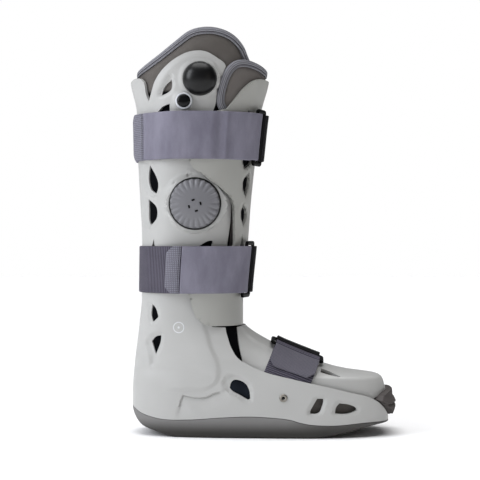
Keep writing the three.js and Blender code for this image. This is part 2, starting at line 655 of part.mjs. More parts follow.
// A cross-section of a strap that lies flat. Its face is 1 where the pile looks out and -1 where it looks in.
function flatStation(path, turn, level, face) {
  return widthRows.map((row) => {
    const { place, out } = strapPlace(path, row, turn, level);
    return { place, out: out.multiplyScalar(face) };
  });
}

// The strip where it goes round a bar, from its inner side to its outer side.
function foldStations(path, turn, level, radius, towards) {
  return Array.from({ length: foldSteps + 1 }, (_, i) => {
    const a = -Math.PI / 2 + (i / foldSteps) * Math.PI;
    return widthRows.map((row) => {
      const { place, out, along } = strapPlace(path, row, turn, level);
      const direction = out.clone().multiplyScalar(Math.sin(a));
      direction.addScaledVector(along, Math.cos(a) * towards);
      return { place: place.clone().addScaledVector(direction, radius), out: direction };
    });
  });
}

// The turns from one to another that fall on the corners of the form, with both ends.
function cornersBetween(from, to) {
  const step = (2 * Math.PI) / roundSides;
  const [low, high] = [Math.min(from, to), Math.max(from, to)];
  const turns = [low];
  for (let i = Math.ceil(low / step + 0.2); i * step < high - step * 0.2; i++) turns.push(i * step);
  turns.push(high);
  return from < to ? turns : turns.reverse();
}
const spread = (from, to, count) => Array.from({ length: count }, (_, i) => mix(from, to, i / (count - 1)));
const eased = (value, from, to) => THREE.MathUtils.smoothstep(value, from, to);

const foldSlack = 1.2;
const foldSteps = 4;
const bandOverFront = [-0.16 * bootLength, -0.062 * bootLength]; // where a strap climbs onto the front shell
const barRound = ringBar / 2 + foldSlack; // the inside of a fold round a bar
const pileFold = barRound + pileThickness / 2;
const webFold = barRound + webbingThickness / 2;

// A leg strap's path at the height of its middle, with the level that clears what is under it.
function legStrap(height) {
  const path = (row, turn, level) => formPoint(height + row * strapWidth, turn, level, legForm);
  const underLevel = (turn) => {
    const x = path(0, turn, 0).x;
    const overFront = frontShellLevel + shellWall + 2 * clearance;
    return mix(2 * clearance, overFront, eased(x, ...bandOverFront));
  };
  return { path, underLevel };
}

// The turns that a strap takes to rise to its ring, on each side, and to lie down behind it.
const ringRise = 0.7;
const webRise = 0.5;
const webTail = 0.45;
const webTailRise = 0.3;
const tabSpacing = 0.6; // between the strap's end and the tab
const farAnchor = 2.45; // the turn where the webbing is fixed to the shell, hidden at the far side

// A strap's pile band, its hook tab, its webbing and its ring. Each place is a turn round the form: the
// bar nearest the camera's side, the tab's two ends, and the anchor behind the leg.
function legStrapPieces(name, height, { nearBar, tabStart, tabEnd, anchor }) {
  const { path, underLevel } = legStrap(height);
  const radius = path(0, nearBar, barRound).x;
  const farBar = nearBar + ringPitch / radius;
  const barLevel = underLevel(nearBar) + pileThickness / 2 + pileFold;
  const inner = (turn) => underLevel(turn) + pileThickness / 2;
  const outer = (turn) => {
    const stacked = inner(turn) + pileThickness + clearance;
    return mix(stacked, barLevel + pileFold, eased(turn, nearBar - ringRise, nearBar));
  };
  const near = cornersBetween(anchor, nearBar).map((turn) => flatStation(path, turn, inner(turn), -1));
  const back = cornersBetween(nearBar, tabStart).map((turn) => flatStation(path, turn, outer(turn), 1));
  const fold = foldStations(path, nearBar, barLevel, pileFold, 1);
  addPiece(name, "pile", band([...near.slice(0, -1), ...fold, ...back.slice(1)], pileThickness));

  const tabGap = tabSpacing / radius;
  const tabTurns = cornersBetween(tabStart - tabGap, tabEnd);
  const tab = tabTurns.map((turn) => flatStation(path, turn, outer(turn), 1));
  addPiece(name + "_tab", "tab", band(tab, tabThickness));

  const webInner = (turn) => mix(
    underLevel(turn) + webbingThickness / 2,
    barLevel - webFold,
    eased(turn, farBar + webRise, farBar),
  );
  const webOuter = (turn) => mix(
    webInner(turn) + webbingThickness + clearance,
    barLevel + webFold,
    eased(-turn, -farBar - webTailRise, -farBar),
  );
  const tail = spread(farBar + webTail, farBar, 3).slice(0, -1);
  const web = [
    ...tail.map((turn) => flatStation(path, turn, webOuter(turn), 1)),
    ...foldStations(path, farBar, barLevel, webFold, -1).reverse(),
    ...cornersBetween(farBar, farAnchor).slice(1).map((turn) => flatStation(path, turn, webInner(turn), -1)),
  ];
  addPiece(name + "_webbing", "webbing", band(web, webbingThickness));
  addRing(name.replace("strap", "ring"), path, nearBar, farBar, barLevel);
}

const ringSlack = 1; // between a strap's edge and the ring's short bar

// A rectangular loop whose two long bars stand where the folds are.
function addRing(name, path, nearBar, farBar, level) {
  const [a, b] = [path(0, nearBar, level), path(0, farBar, level)];
  const edgeMiddle = (row) => path(row, nearBar, level).add(path(row, farBar, level)).multiplyScalar(0.5);
  const [low, high] = [edgeMiddle(-0.5), edgeMiddle(0.5)];
  const wide = b.clone().sub(a);
  const tall = high.clone().sub(low).normalize();
  const out = new THREE.Vector3().crossVectors(wide.clone().normalize(), tall).normalize();
  const halfWide = wide.length() / 2 + ringBar / 2;
  const halfTall = strapWidth / 2 + ringSlack + ringBar;
  const outline = (w, h) => [[-w, -h], [w, -h], [w, h], [-w, h]].map(([x, y]) => new THREE.Vector2(x, y));
  const shape = new THREE.Shape(outline(halfWide - ringBevel, halfTall - ringBevel));
  const inset = ringBar - ringBevel;
  shape.holes.push(new THREE.Path(outline(halfWide - inset, halfTall - inset).reverse()));
  const geometry = new THREE.ExtrudeGeometry(shape, {
    depth: ringBar - 2 * ringBevel,
    bevelEnabled: true,
    bevelThickness: ringBevel,
    bevelSize: ringBevel,
    bevelSegments: 1,
  });
  geometry.translate(0, 0, -(ringBar / 2 - ringBevel));
  const mesh = addPiece(name, "blackPlastic", geometryOf(solidOf(geometry)));
  const across = wide.clone().normalize();
  const up = new THREE.Vector3().crossVectors(out, across);
  mesh.quaternion.setFromRotationMatrix(new THREE.Matrix4().makeBasis(across, up, out));
  mesh.position.copy(low.add(high).multiplyScalar(0.5));
}

const strapTopTurns = { nearBar: -0.3, tabStart: -2.41, tabEnd: -2.86, anchor: -3.75 };
const strapMiddleTurns = { nearBar: -0.32, tabStart: -1.72, tabEnd: -1.97, anchor: -3.75 };
legStrapPieces("strap_top", strapTopHeight, strapTopTurns);
legStrapPieces("strap_middle", strapMiddleHeight, strapMiddleTurns);

// Foot strap, over the instep in a plane that leans back with it
const strapFootDown = new THREE.Vector3(Math.cos(strapFootTilt), 0, -Math.sin(strapFootTilt));
const strapFootUp = new THREE.Vector3(Math.sin(strapFootTilt), 0, Math.cos(strapFootTilt));
const footHubSetback = 24; // how far behind the strap's middle the turns start
const footHubHeight = 0.098 * shellHeight;
const strapFootHub = new THREE.Vector3(strapFootReach - footHubSetback, 0, footHubHeight);
const footPath = (row, turn, level) => {
  const from = strapFootHub.clone().addScaledVector(strapFootDown, row * strapWidth);
  const direction = strapFootUp.clone().multiplyScalar(Math.cos(turn));
  direction.y = Math.sin(turn);
  return leavesForm(from, direction.normalize(), level);
};
const footInnerLevel = instepLevel + clearance + webbingThickness / 2;
const footBarLevel = footInnerLevel + webFold;
const footNearBar = -0.42;
const footFarBar = -0.06;
const footOuterLevel = footInnerLevel + webbingThickness + clearance;
const footEnd = 1.5;
const footSteps = 8;
const footTail = 0.1; // how far the webbing goes on past the near bar, under the tab
const footTailShare = 0.8;
const footTabStart = 0.13;
const footTabEnd = 0.55;
const footTabSteps = 4;
const footTabLift = 0.4;
const footWebTail = 0.3;
const footLying = (turn) => flatStation(footPath, turn, footInnerLevel, -1);
const footTailLevel = mix(footOuterLevel, footBarLevel + webFold, footTailShare);
const footNear = [
  ...spread(-footEnd, footNearBar, footSteps).slice(0, -1).map(footLying),
  ...foldStations(footPath, footNearBar, footBarLevel, webFold, 1),
  flatStation(footPath, footNearBar - footTail, footTailLevel, 1),
];
const overInstep = formSolid(instepLevel + clearance, formBottom, instepRoof);
const trayWall = formSolid(clearance, formBottom, instepRoof)
  .subtract(formSolid(-shellWall - clearance, formBottom - overcut, instepRoof + overcut))
  .intersect(slab(raised(baseSide, clearance)));
const fitted = (strap) => strap.subtract(overInstep).subtract(trayWall);
addPiece("strap_foot", "webbing", fitted(band(footNear, webbingThickness)));
const footTabLevel = (share) => mix(footBarLevel + webFold, footOuterLevel + footTabLift, share);
const footTab = spread(footNearBar - footTabStart, footNearBar - footTabEnd, footTabSteps)
  .map((turn, i) => flatStation(footPath, turn, footTabLevel(i / (footTabSteps - 1)), 1));
addPiece("strap_foot_tab", "tab", band(footTab, tabThickness));
const footFar = [
  flatStation(footPath, footFarBar + footWebTail, footOuterLevel, 1),
  ...foldStations(footPath, footFarBar, footBarLevel, webFold, -1).reverse(),
  ...spread(footFarBar, footEnd, footSteps).slice(1).map(footLying),
];
addPiece("strap_foot_webbing", "webbing", fitted(band(footFar, webbingThickness)));
addRing("ring_foot", footPath, footNearBar, footFarBar, footBarLevel);

// Rivets in the tray
const rivetX = rivetPlace[0] * bootLength;
const rivetZ = rivetPlace[1] * shellHeight;
const rivetY = widthAt(rivetX, rivetZ, 0) + clearance;
const rivetBevel = [0.85, 0.7]; // shares of its radius and thickness
const rivetRim = [rivetRadius * rivetBevel[0], rivetThickness * rivetBevel[1]];
const rivetProfile = [[0, 0], [rivetRadius, 0], rivetRim, [0, rivetThickness]]
  .map(([r, h]) => new THREE.Vector2(r, h));
[["tray_rivet_near", -1], ["tray_rivet_far", 1]].forEach(([name, side]) => {
  const mesh = addPiece(name, "nickel", turned(rivetProfile, smallSides));
  mesh.rotation.x = side < 0 ? Math.PI : 0;
  mesh.position.set(rivetX, side * rivetY, rivetZ);
});

export default boot;
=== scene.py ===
import math

import bmesh
import bpy
import numpy as np
from mathutils import Matrix, Vector
from mathutils.geometry import delaunay_2d_cdt


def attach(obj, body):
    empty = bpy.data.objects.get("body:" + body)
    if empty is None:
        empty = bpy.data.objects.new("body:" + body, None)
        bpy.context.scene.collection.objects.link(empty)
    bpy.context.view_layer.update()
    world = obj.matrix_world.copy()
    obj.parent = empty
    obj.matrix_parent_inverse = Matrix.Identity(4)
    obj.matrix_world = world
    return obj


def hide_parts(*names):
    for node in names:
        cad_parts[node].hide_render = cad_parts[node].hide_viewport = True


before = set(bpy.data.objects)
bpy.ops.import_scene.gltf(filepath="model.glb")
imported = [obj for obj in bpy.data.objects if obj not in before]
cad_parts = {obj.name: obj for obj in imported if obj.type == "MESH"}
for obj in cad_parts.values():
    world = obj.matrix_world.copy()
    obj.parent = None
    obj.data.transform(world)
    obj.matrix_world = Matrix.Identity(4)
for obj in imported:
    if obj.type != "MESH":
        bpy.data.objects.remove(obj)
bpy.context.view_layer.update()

# Camera
# It stands level, 1.4 m to the side of the boot, and sees a square of 528 mm at the boot's middle.
# Outlines below hold points of its 480 pixel picture, or shares of the boot's length and height.
mm = 0.001
picture_side = 480
seen_width = 528.0
camera_distance = 1400.0
camera_centre = (48.0, 210.0)
sensor_width = 36.0

camera_data = bpy.data.cameras.new("camera")
camera_data.sensor_width = sensor_width
camera_data.lens = sensor_width * camera_distance / seen_width
camera = bpy.data.objects.new("camera", camera_data)
camera.location = Vector((camera_centre[0], -camera_distance, camera_centre[1])) * mm
camera.rotation_euler = (math.pi / 2, 0, 0)
bpy.context.scene.collection.objects.link(camera)
bpy.context.scene.camera = camera


def seen(points, depth):
    """Picture points as x and z in millimetres, on a surface at that y."""
    scale = seen_width / picture_side * (camera_distance + depth) / camera_distance
    points = np.array(points, float)
    half = picture_side / 2
    x = camera_centre[0] + (points[:, 0] - half) * scale
    z = camera_centre[1] + (half - points[:, 1]) * scale
    return np.stack([x, z], axis=1)


# Floor and light
# A white sweep of matt card under a large cool light on the left, a weaker warm one on the right and
# one overhead, so that the boot throws one soft shadow to the right.


def add_node(tree, kind, links=None, **settings):
    """Adds a node; settings are its properties or input values, links its inputs' sources."""
    node = tree.nodes.new(kind)
    for key, value in settings.items():
        if hasattr(node, key):
            setattr(node, key, value)
        else:
            node.inputs[key.replace("_", " ")].default_value = value
    for key, source in (links or {}).items():
        tree.links.new(source, node.inputs[key])
    return node


def linear(hex_colour):
    """An sRGB hex colour as a linear RGBA one."""
    parts = [int(hex_colour[i:i + 2], 16) / 255 for i in (0, 2, 4)]
    return (*[c / 12.92 if c <= 0.04045 else ((c + 0.055) / 1.055) ** 2.4 for c in parts], 1.0)


def colour_mix(tree, factor, first, second):
    """A colour between two, by a factor; each is a hex colour or a socket."""
    mix = add_node(tree, "ShaderNodeMix", data_type="RGBA")
    tree.links.new(factor, mix.inputs["Factor"])
    for name, value in (("A", first), ("B", second)):
        socket = next(s for s in mix.inputs if s.name == name and s.type == "RGBA")
        if isinstance(value, str):
            socket.default_value = linear(value)
        else:
            tree.links.new(value, socket)
    return next(s for s in mix.outputs if s.type == "RGBA")


def add_object(name, data):
    """Puts a mesh or a light in the scene, and names both after the piece."""
    data.name = name
    item = bpy.data.objects.new(name, data)
    bpy.context.scene.collection.objects.link(item)
    return item


def add_light(name, place, aim, size, power, colour):
    data = bpy.data.lights.new(name, "AREA")
    data.shape = "RECTANGLE"
    data.size, data.size_y = size
    data.energy = power
    data.color = linear(colour)[:3]
    item = add_object(name, data)
    item.location = place
    item.rotation_euler = (Vector(aim) - Vector(place)).to_track_quat("-Z", "Y").to_euler()


# Matt white card: a very faint grain lets the eye read it as paper under the boot.
floor_card = bpy.data.materials.new("white_card")
floor_card.use_nodes = True
card = floor_card.node_tree
card.nodes["Principled BSDF"].inputs["Roughness"].default_value = 0.9
card_grain = add_node(card, "ShaderNodeTexNoise", Scale=900.0)
card_tone = colour_mix(card, card_grain.outputs["Fac"], "fcfcfd", "ffffff")
card.links.new(card_tone, card.nodes["Principled BSDF"].inputs["Base Color"])
floor_mesh = bpy.data.meshes.new("floor")
floor_reach = 6.0
floor_corners = [(x * floor_reach, y * floor_reach, 0) for x, y in ((-1, -1), (1, -1), (1, 1), (-1, 1))]
floor_mesh.from_pydata(floor_corners, [], [(0, 1, 2, 3)])
floor_mesh.materials.append(floor_card)
floor = add_object("floor", floor_mesh)

# The sky lights the boot more from the left, and the camera sees it as plain white.
sky_left, sky_right = 0.55, 0.06
world = bpy.data.worlds.new("studio")
bpy.context.scene.world = world
world.use_nodes = True
sky = world.node_tree
ray = add_node(sky, "ShaderNodeLightPath")
shown_sky = add_node(sky, "ShaderNodeBackground", Strength=1.0, Color=(1.0, 1.0, 1.0, 1.0))
sky.nodes["Background"].inputs["Color"].default_value = linear("f7f8fb")
sky_way = add_node(sky, "ShaderNodeTexCoord").outputs["Generated"]
sky_split = add_node(sky, "ShaderNodeSeparateXYZ", {"Vector": sky_way})
sky_side = add_node(sky, "ShaderNodeMapRange", {"Value": sky_split.outputs["X"]},
                    From_Min=-1.0, From_Max=1.0, To_Min=sky_left, To_Max=sky_right)
sky.links.new(sky_side.outputs["Result"], sky.nodes["Background"].inputs["Strength"])
sky_mix = add_node(sky, "ShaderNodeMixShader", {
    0: ray.outputs["Is Camera Ray"], 1: sky.nodes["Background"].outputs[0], 2: shown_sky.outputs[0],
})
sky.links.new(sky_mix.outputs[0], sky.nodes["World Output"].inputs["Surface"])
bpy.context.scene.view_settings.view_transform = "Standard"

add_light("left_light", place=(-1.4, -0.75, 1.0), aim=(0.0, 0.0, 0.2), size=(0.8, 1.2), power=20.0,
          colour="f6f9ff")
add_light("right_light", place=(1.3, -1.3, 0.7), aim=(0.05, 0.0, 0.2), size=(0.8, 1.0), power=1.0,
          colour="fff3e6")
sun_data = bpy.data.lights.new("overhead_sky", "SUN")
sun_data.energy = 2.45
sun_data.angle = math.radians(60)
add_object("overhead_sky", sun_data)


# Rocker sole
# A thick grey rubber outsole, rounded up at toe and heel so that the foot rolls over it, and bonded
# under the shell. Its lower part and its toe are painted darker, as shade.
boot_length, shell_height = 279.0, 382.0
calf_width, ankle_width, foot_width = 124.0, 100.0, 114.0
shell_wall, clearance = 3.0, 0.3

# The form that shells and pads follow: heights are shares of the shell's height, the back and front
# ends shares of the boot's length, and calf, ankle and foot shares of those three widths.
form_columns = ("height", "back", "front", "calf", "ankle", "foot", "square", "spread")
form_rows = np.array([
    (-0.02, -0.247, 0.752, 0, 0, 1, 3, 0.12), (0.047, -0.249, 0.752, 0, 0, 1, 3, 0.12),
    (0.118, -0.249, 0.7615, 0, 0, 1, 3, 0.12), (0.162, -0.246, 0.749, 0, 0, 0.985, 2.9, 0.11),
    (0.177, -0.244, 0.7275, 0, 0, 0.97, 2.7, 0.08), (0.191, -0.243, 0.609, 0, 0, 0.955, 2.35, 0.03),
    (0.205, -0.241, 0.532, 0, 0, 0.94, 2.3, 0.01), (0.238, -0.236, 0.408, 0, 0.3, 0.65, 2.25, 0),
    (0.267, -0.23, 0.316, 0, 0.8, 0.2, 2.3, 0), (0.319, -0.222, 0.206, 0, 1, 0, 2.4, 0),
    (0.38, -0.2138, 0.161, 0.02, 0.98, 0, 2.4, 0), (0.55, -0.2125, 0.181, 0.42, 0.58, 0, 2.3, 0),
    (0.655, -0.2195, 0.1915, 0.67, 0.33, 0, 2.2, 0), (0.765, -0.2275, 0.207, 0.88, 0.12, 0, 2.15, 0),
    (0.916, -0.234, 0.2315, 1, 0, 0, 2.1, 0), (1, -0.2577, 0.2617, 1.01, 0, 0, 2.1, 0),
    (1.052, -0.262, 0.272, 1, 0, 0, 2.1, 0), (1.16, -0.262, 0.272, 0.97, 0, 0, 2.1, 0),
])
form_table = dict(zip(form_columns, form_rows.T))
form_heights = form_table["height"] * shell_height
form_fine = np.arange(form_heights[0], form_heights[-1], 0.05)
leg_front = 0.161 * boot_length
leg_start = 0.38 * shell_height


def span_curve(a, b, m, n, t):
    """A cubic from a to b that leaves with slope m and arrives with slope n."""
    return (a * (1 + 2 * t) * (1 - t) ** 2 + m * t * (1 - t) ** 2
            + b * t * t * (3 - 2 * t) + n * t * t * (t - 1))


def smooth_along(places, values, at):
    """A curve through the values that doesn't overshoot them."""
    steps = np.diff(places)
    slopes = np.diff(values) / steps
    left, right = slopes[:-1], slopes[1:]
    same = left * right > 0
    middle = np.where(same, 2 * left * right / np.where(same, left + right, 1), 0)
    tangents = np.concatenate([[slopes[0]], middle, [slopes[-1]]])
    i = np.clip(np.searchsorted(places, at) - 1, 0, len(steps) - 1)
    t = np.clip((at - places[i]) / steps[i], 0, 1)
    return span_curve(values[i], values[i + 1], tangents[i] * steps[i], tangents[i + 1] * steps[i], t)


def form_value(name, heights):
    return smooth_along(form_heights, form_table[name], heights)


def end_line(end, level, heights):
    """Where the form ends at the back or front, moved out by the level."""
    x = form_value(end, form_fine) * boot_length
    run = np.stack([np.gradient(x), np.gradient(form_fine)], axis=1)
    run /= np.linalg.norm(run, axis=1)[:, None]
    outward = 1 if end == "front" else -1
    moved_x = x + outward * level * run[:, 1]
    moved_z = np.maximum.accumulate(form_fine - outward * level * run[:, 0])
    return np.interp(heights, moved_z, moved_x)


def half_width(z, level):
    return (form_value("calf", z) * calf_width + form_value("ankle", z) * ankle_width
            + form_value("foot", z) * foot_width) / 2 + level


def round_plan(z, turn, front, back, level):
    """x and y round the form: the turn is 0 at the front and negative on the near side."""
    power = 2 / form_value("square", z)
    along = np.sign(np.cos(turn)) * np.abs(np.cos(turn)) ** power
    across = np.sign(np.sin(turn)) * np.abs(np.sin(turn)) ** power
    x = (front + back) / 2 + (front - back) / 2 * along
    return x, half_width(z, level) * across * (1 + form_value("spread", z) * along)


turn_count, even_count = 721, 361


class Form:
    """The boot's form at one level outside or inside the shell's outer face.

    u runs from 0 at the front to 1 at the back along one side, evenly by length at each height.
    Rows are even by height, or by length along the front line for pieces that roof the foot."""

    def __init__(self, level, leg_only=False, back_limit=None, by_front=False):
        if by_front:
            fine_front = end_line("front", level, form_fine)
            lengths = np.concatenate([[0], np.cumsum(np.hypot(np.diff(fine_front), np.diff(form_fine)))])
            self.v = np.arange(0, lengths[-1], 1.0)
            self.z = np.interp(self.v, lengths, form_fine)
        else:
            self.z = np.arange(form_heights[0], form_heights[-1], 1.0)
            self.v = self.z
        z = self.z
        front = end_line("front", level, z)
        if leg_only:
            front = np.where(z < leg_start, np.minimum(front, leg_front + level), front)
        back = end_line("back", level, z)
        if back_limit is not None:
            back = np.maximum(back, back_limit - level)
        turns = np.linspace(0, math.pi, turn_count)
        x, y = round_plan(z[:, None], turns, front[:, None], back[:, None], level)
        length = np.cumsum(np.hypot(np.diff(x, axis=1), np.diff(y, axis=1)), axis=1)
        length = np.concatenate([np.zeros((len(z), 1)), length], axis=1)
        self.count = even_count
        self.steps = np.linspace(0, 1, self.count)
        self.half_round = length[:, -1]
        rows = [
            (np.interp(self.steps * total, run, px), np.interp(self.steps * total, run, py))
            for total, run, px, py in zip(self.half_round, length, x, y)
        ]
        self.x = np.array([row[0] for row in rows])
        self.y = np.array([row[1] for row in rows])
        self.middle = self.x[:, self.count // 2]

    def row(self, z):
        place = np.interp(z, self.z, np.arange(len(self.z)))
        place = np.clip(place, 0, len(self.z) - 1.001)
        i = place.astype(int)
        return i, place - i

    def look_up(self, table, u, z):
        i, part = self.row(z)
        place = np.clip(np.asarray(u, float) * (self.count - 1), 0, self.count - 1.001)
        j = place.astype(int)
        share = place - j
        low = table[i, j] * (1 - share) + table[i, j + 1] * share
        high = table[i + 1, j] * (1 - share) + table[i + 1, j + 1] * share
        return low * (1 - part) + high * part

    def point(self, u, z, side=-1):
        x, y = self.look_up(self.x, u, z), self.look_up(self.y, u, z)
        return np.stack([x, side * y, np.asarray(z, float)], axis=-1)

    def normal(self, u, z, side=-1):
        du, dv = 0.004, 1.5
        u = np.asarray(u, float)
        low, high = np.clip(u - du, 0, 1), np.clip(u + du, 0, 1)
        around = self.point(high, z, side) - self.point(low, z, side)
        ends = np.zeros_like(around)
        ends[..., 1] = np.where(u < 0.5, side, -side)
        near_end = np.clip(1 - np.minimum(u, 1 - u) / du, 0, 1)[..., None]
        around = around / np.linalg.norm(around, axis=-1, keepdims=True) * (1 - near_end) + ends * near_end
        v = np.interp(z, self.z, self.v)
        above, below = np.interp(v + dv, self.v, self.z), np.interp(v - dv, self.v, self.z)
        up = self.point(u, above, side) - self.point(u, below, side)
        out = np.cross(up, around) * -side
        return out / np.linalg.norm(out, axis=-1, keepdims=True)

    def flat(self, u, z):
        """The unrolled side view: across it, x at mid-side and lengths round the form beyond."""
        i, part = self.row(z)
        total = self.half_round[i] * (1 - part) + self.half_round[i + 1] * part
        middle = self.middle[i] * (1 - part) + self.middle[i + 1] * part
        v = np.interp(z, self.z, self.v)
        return np.stack([middle + (0.5 - np.asarray(u)) * total, v], axis=-1)

    def unflat(self, points):
        """The way back from the unrolled side view to u and z."""
        z = np.interp(points[:, 1], self.v, self.z)
        i, part = self.row(z)
        total = self.half_round[i] * (1 - part) + self.half_round[i + 1] * part
        middle = self.middle[i] * (1 - part) + self.middle[i + 1] * part
        return np.clip(0.5 - (points[:, 0] - middle) / total, 0, 1), z

    def u_at(self, x, z):
        """The place along one side that has this x at this height."""
        i, part = self.row(z)
        found = []
        for xi, row, share in zip(x, i, part):
            line = self.x[row] * (1 - share) + self.x[row + 1] * share
            found.append(np.interp(-xi, -line, self.steps))
        return np.array(found)

    def width(self, x, z):
        """Half the width at an x and height."""
        x, z = np.atleast_1d(x), np.atleast_1d(z)
        return self.look_up(self.y, self.u_at(x, z), z)


def on_form(points, form):
    """Picture points as x and z where the camera sees them on the near side of a form."""
    depth = np.full(len(points), -50.0)
    for _ in range(12):
        place = seen(points, depth)
        depth = (depth - form.width(place[:, 0], place[:, 1])) / 2
    return seen(points, depth)


shell_form = Form(0.0)


def sized(points):
    return np.array(points, float) * (boot_length, shell_height)


def curved(points, closed=False, step=1.5, corner=52.0):
    """A smooth line through the points, kept sharp where it turns by more than the corner angle."""
    points = np.array(points, float)
    count = len(points)
    spans = count if closed else count - 1
    lines = []
    for i in range(spans):
        p1, p2 = points[i], points[(i + 1) % count]
        before = points[(i - 1) % count] if closed or i else p1
        after = points[(i + 2) % count] if closed or i + 2 < count else p2

        def turn(a, b, c):
            v, w = b - a, c - b
            if not v.any() or not w.any():
                return 0.0
            cosine = v @ w / np.linalg.norm(v) / np.linalg.norm(w)
            return math.degrees(math.acos(max(-1.0, min(1.0, cosine))))

        span = np.linalg.norm(p2 - p1)
        tangents = []
        for a, b, c in ((before, p1, p2), (p1, p2, after)):
            if turn(a, b, c) > corner or not (b - a).any() or not (c - b).any():
                tangents.append(p2 - p1)
            else:
                la, lb = np.linalg.norm(b - a), np.linalg.norm(c - b)
                way = (b - a) / la * lb + (c - b) / lb * la
                tangents.append(way / (la + lb) * span)
        steps = max(1, round(span / step))
        t = np.arange(steps)[:, None] / steps
        lines.append(span_curve(p1, p2, *tangents, t))
    if not closed:
        lines.append(points[-1:])
    return np.concatenate(lines)


def even(points, step, closed=True):
    """The same line with a point at every step."""
    ring = np.concatenate([points, points[:1]]) if closed else points
    lengths = np.concatenate([[0], np.cumsum(np.linalg.norm(np.diff(ring, axis=0), axis=1))])
    count = max(4, round(lengths[-1] / step))
    at = np.linspace(0, lengths[-1], count + 1)
    line = np.stack([np.interp(at, lengths, ring[:, 0]), np.interp(at, lengths, ring[:, 1])], axis=1)
    return line[:-1] if closed else line


def inside(points, ring):
    """Which points lie inside a closed line."""
    result = np.zeros(len(points), bool)
    for a, b in zip(ring, np.roll(ring, -1, axis=0)):
        crosses = (a[1] > points[:, 1]) != (b[1] > points[:, 1])
        rise = b[1] - a[1] if b[1] != a[1] else 1e-9
        at = a[0] + (points[:, 1] - a[1]) / rise * (b[0] - a[0])
        result ^= crosses & (points[:, 0] < at)
    return result


def nearest(points, line, closed=False):
    """How far each point lies from a line, and on which side: 1 at its right as it runs, -1 at its left."""
    ends = np.roll(line, -1, axis=0) if closed else line[1:]
    starts = line if closed else line[:-1]
    away, side = np.full(len(points), 1e9), np.zeros(len(points))
    for a, b in zip(starts, ends):
        run = b - a
        share = np.clip((points - a) @ run / max(run @ run, 1e-9), 0, 1)
        gap = np.linalg.norm(points - a - share[:, None] * run, axis=1)
        right = -(run[0] * (points - a)[:, 1] - run[1] * (points - a)[:, 0])
        side = np.where(gap < away, np.sign(right), side)
        away = np.minimum(away, gap)
    return away, side


def distance(points, line, closed=False):
    return nearest(points, line, closed)[0]


def eased(value, low, high):
    t = np.clip((value - low) / (high - low), 0, 1)
    return t * t * (3 - 2 * t)


def plain_mesh(points, faces, uv=None):
    """A smooth-shaded mesh from points in millimetres; uv holds a place in metres for each point."""
    mesh = bpy.data.meshes.new("piece")
    mesh.from_pydata((np.asarray(points) * mm).tolist(), [], [list(map(int, f)) for f in faces])
    if uv is not None:
        layer = mesh.uv_layers.new(name="surface")
        corners = np.zeros(len(mesh.loops), int)
        mesh.loops.foreach_get("vertex_index", corners)
        layer.data.foreach_set("uv", (np.asarray(uv) * mm)[corners].astype(np.float32).ravel())
    mesh.polygons.foreach_set("use_smooth", [True] * len(mesh.polygons))
    mesh.update()
    return mesh


def settled(mesh, weld=0.0, sliver=0.0):
    """Welds points and drops slivers within those millimetres, and turns every face outward."""
    work = bmesh.new()
    work.from_mesh(mesh)
    if weld:
        bmesh.ops.remove_doubles(work, verts=work.verts, dist=weld * mm)
    if sliver:
        bmesh.ops.dissolve_degenerate(work, edges=work.edges, dist=sliver * mm)
    bmesh.ops.delete(work, geom=[v for v in work.verts if not v.link_faces], context="VERTS")
    bmesh.ops.recalc_face_normals(work, faces=work.faces)
    work.to_mesh(mesh)
    work.free()
    return mesh


def swept_faces(rings, size, closed=False):
    """Faces between rings of points that follow each other, each ring closed in itself."""
    return [
        (i * size + k, i * size + (k + 1) % size,
         ((i + 1) % rings) * size + (k + 1) % size, ((i + 1) % rings) * size + k)
        for i in range(rings if closed else rings - 1) for k in range(size)
    ]


def end_faces(rings, size):
    """The two faces that close a sweep's ends."""
    return [tuple(range(size)), tuple(range((rings - 1) * size, rings * size))[::-1]]


def plan_round(form, height, steps):
    """The form's plan at one height as a closed ring of places, out along the near side first."""
    u = np.concatenate([np.linspace(0, 1, steps), np.linspace(1, 0, steps)[1:-1]])
    side = np.concatenate([-np.ones(steps), np.ones(steps - 2)])
    plan = form.point(u, np.full(len(u), height))[:, :2]
    plan[:, 1] = np.abs(plan[:, 1]) * side
    return plan


def plate_faces(rings, size):
    """Faces of a plate: the wall between its rings, and both flat sides bridged from left to right."""
    faces = [(a, d, c, b) for a, b, c, d in swept_faces(rings, size)]
    for first in (0, (rings - 1) * size):
        for i in range(size // 2):
            bridge = (first + i, first + i + 1, first + (size - i - 1) % size, first + (size - i) % size)
            bridge = tuple(dict.fromkeys(bridge))
            if len(bridge) > 2:
                faces.append(bridge)
    return faces


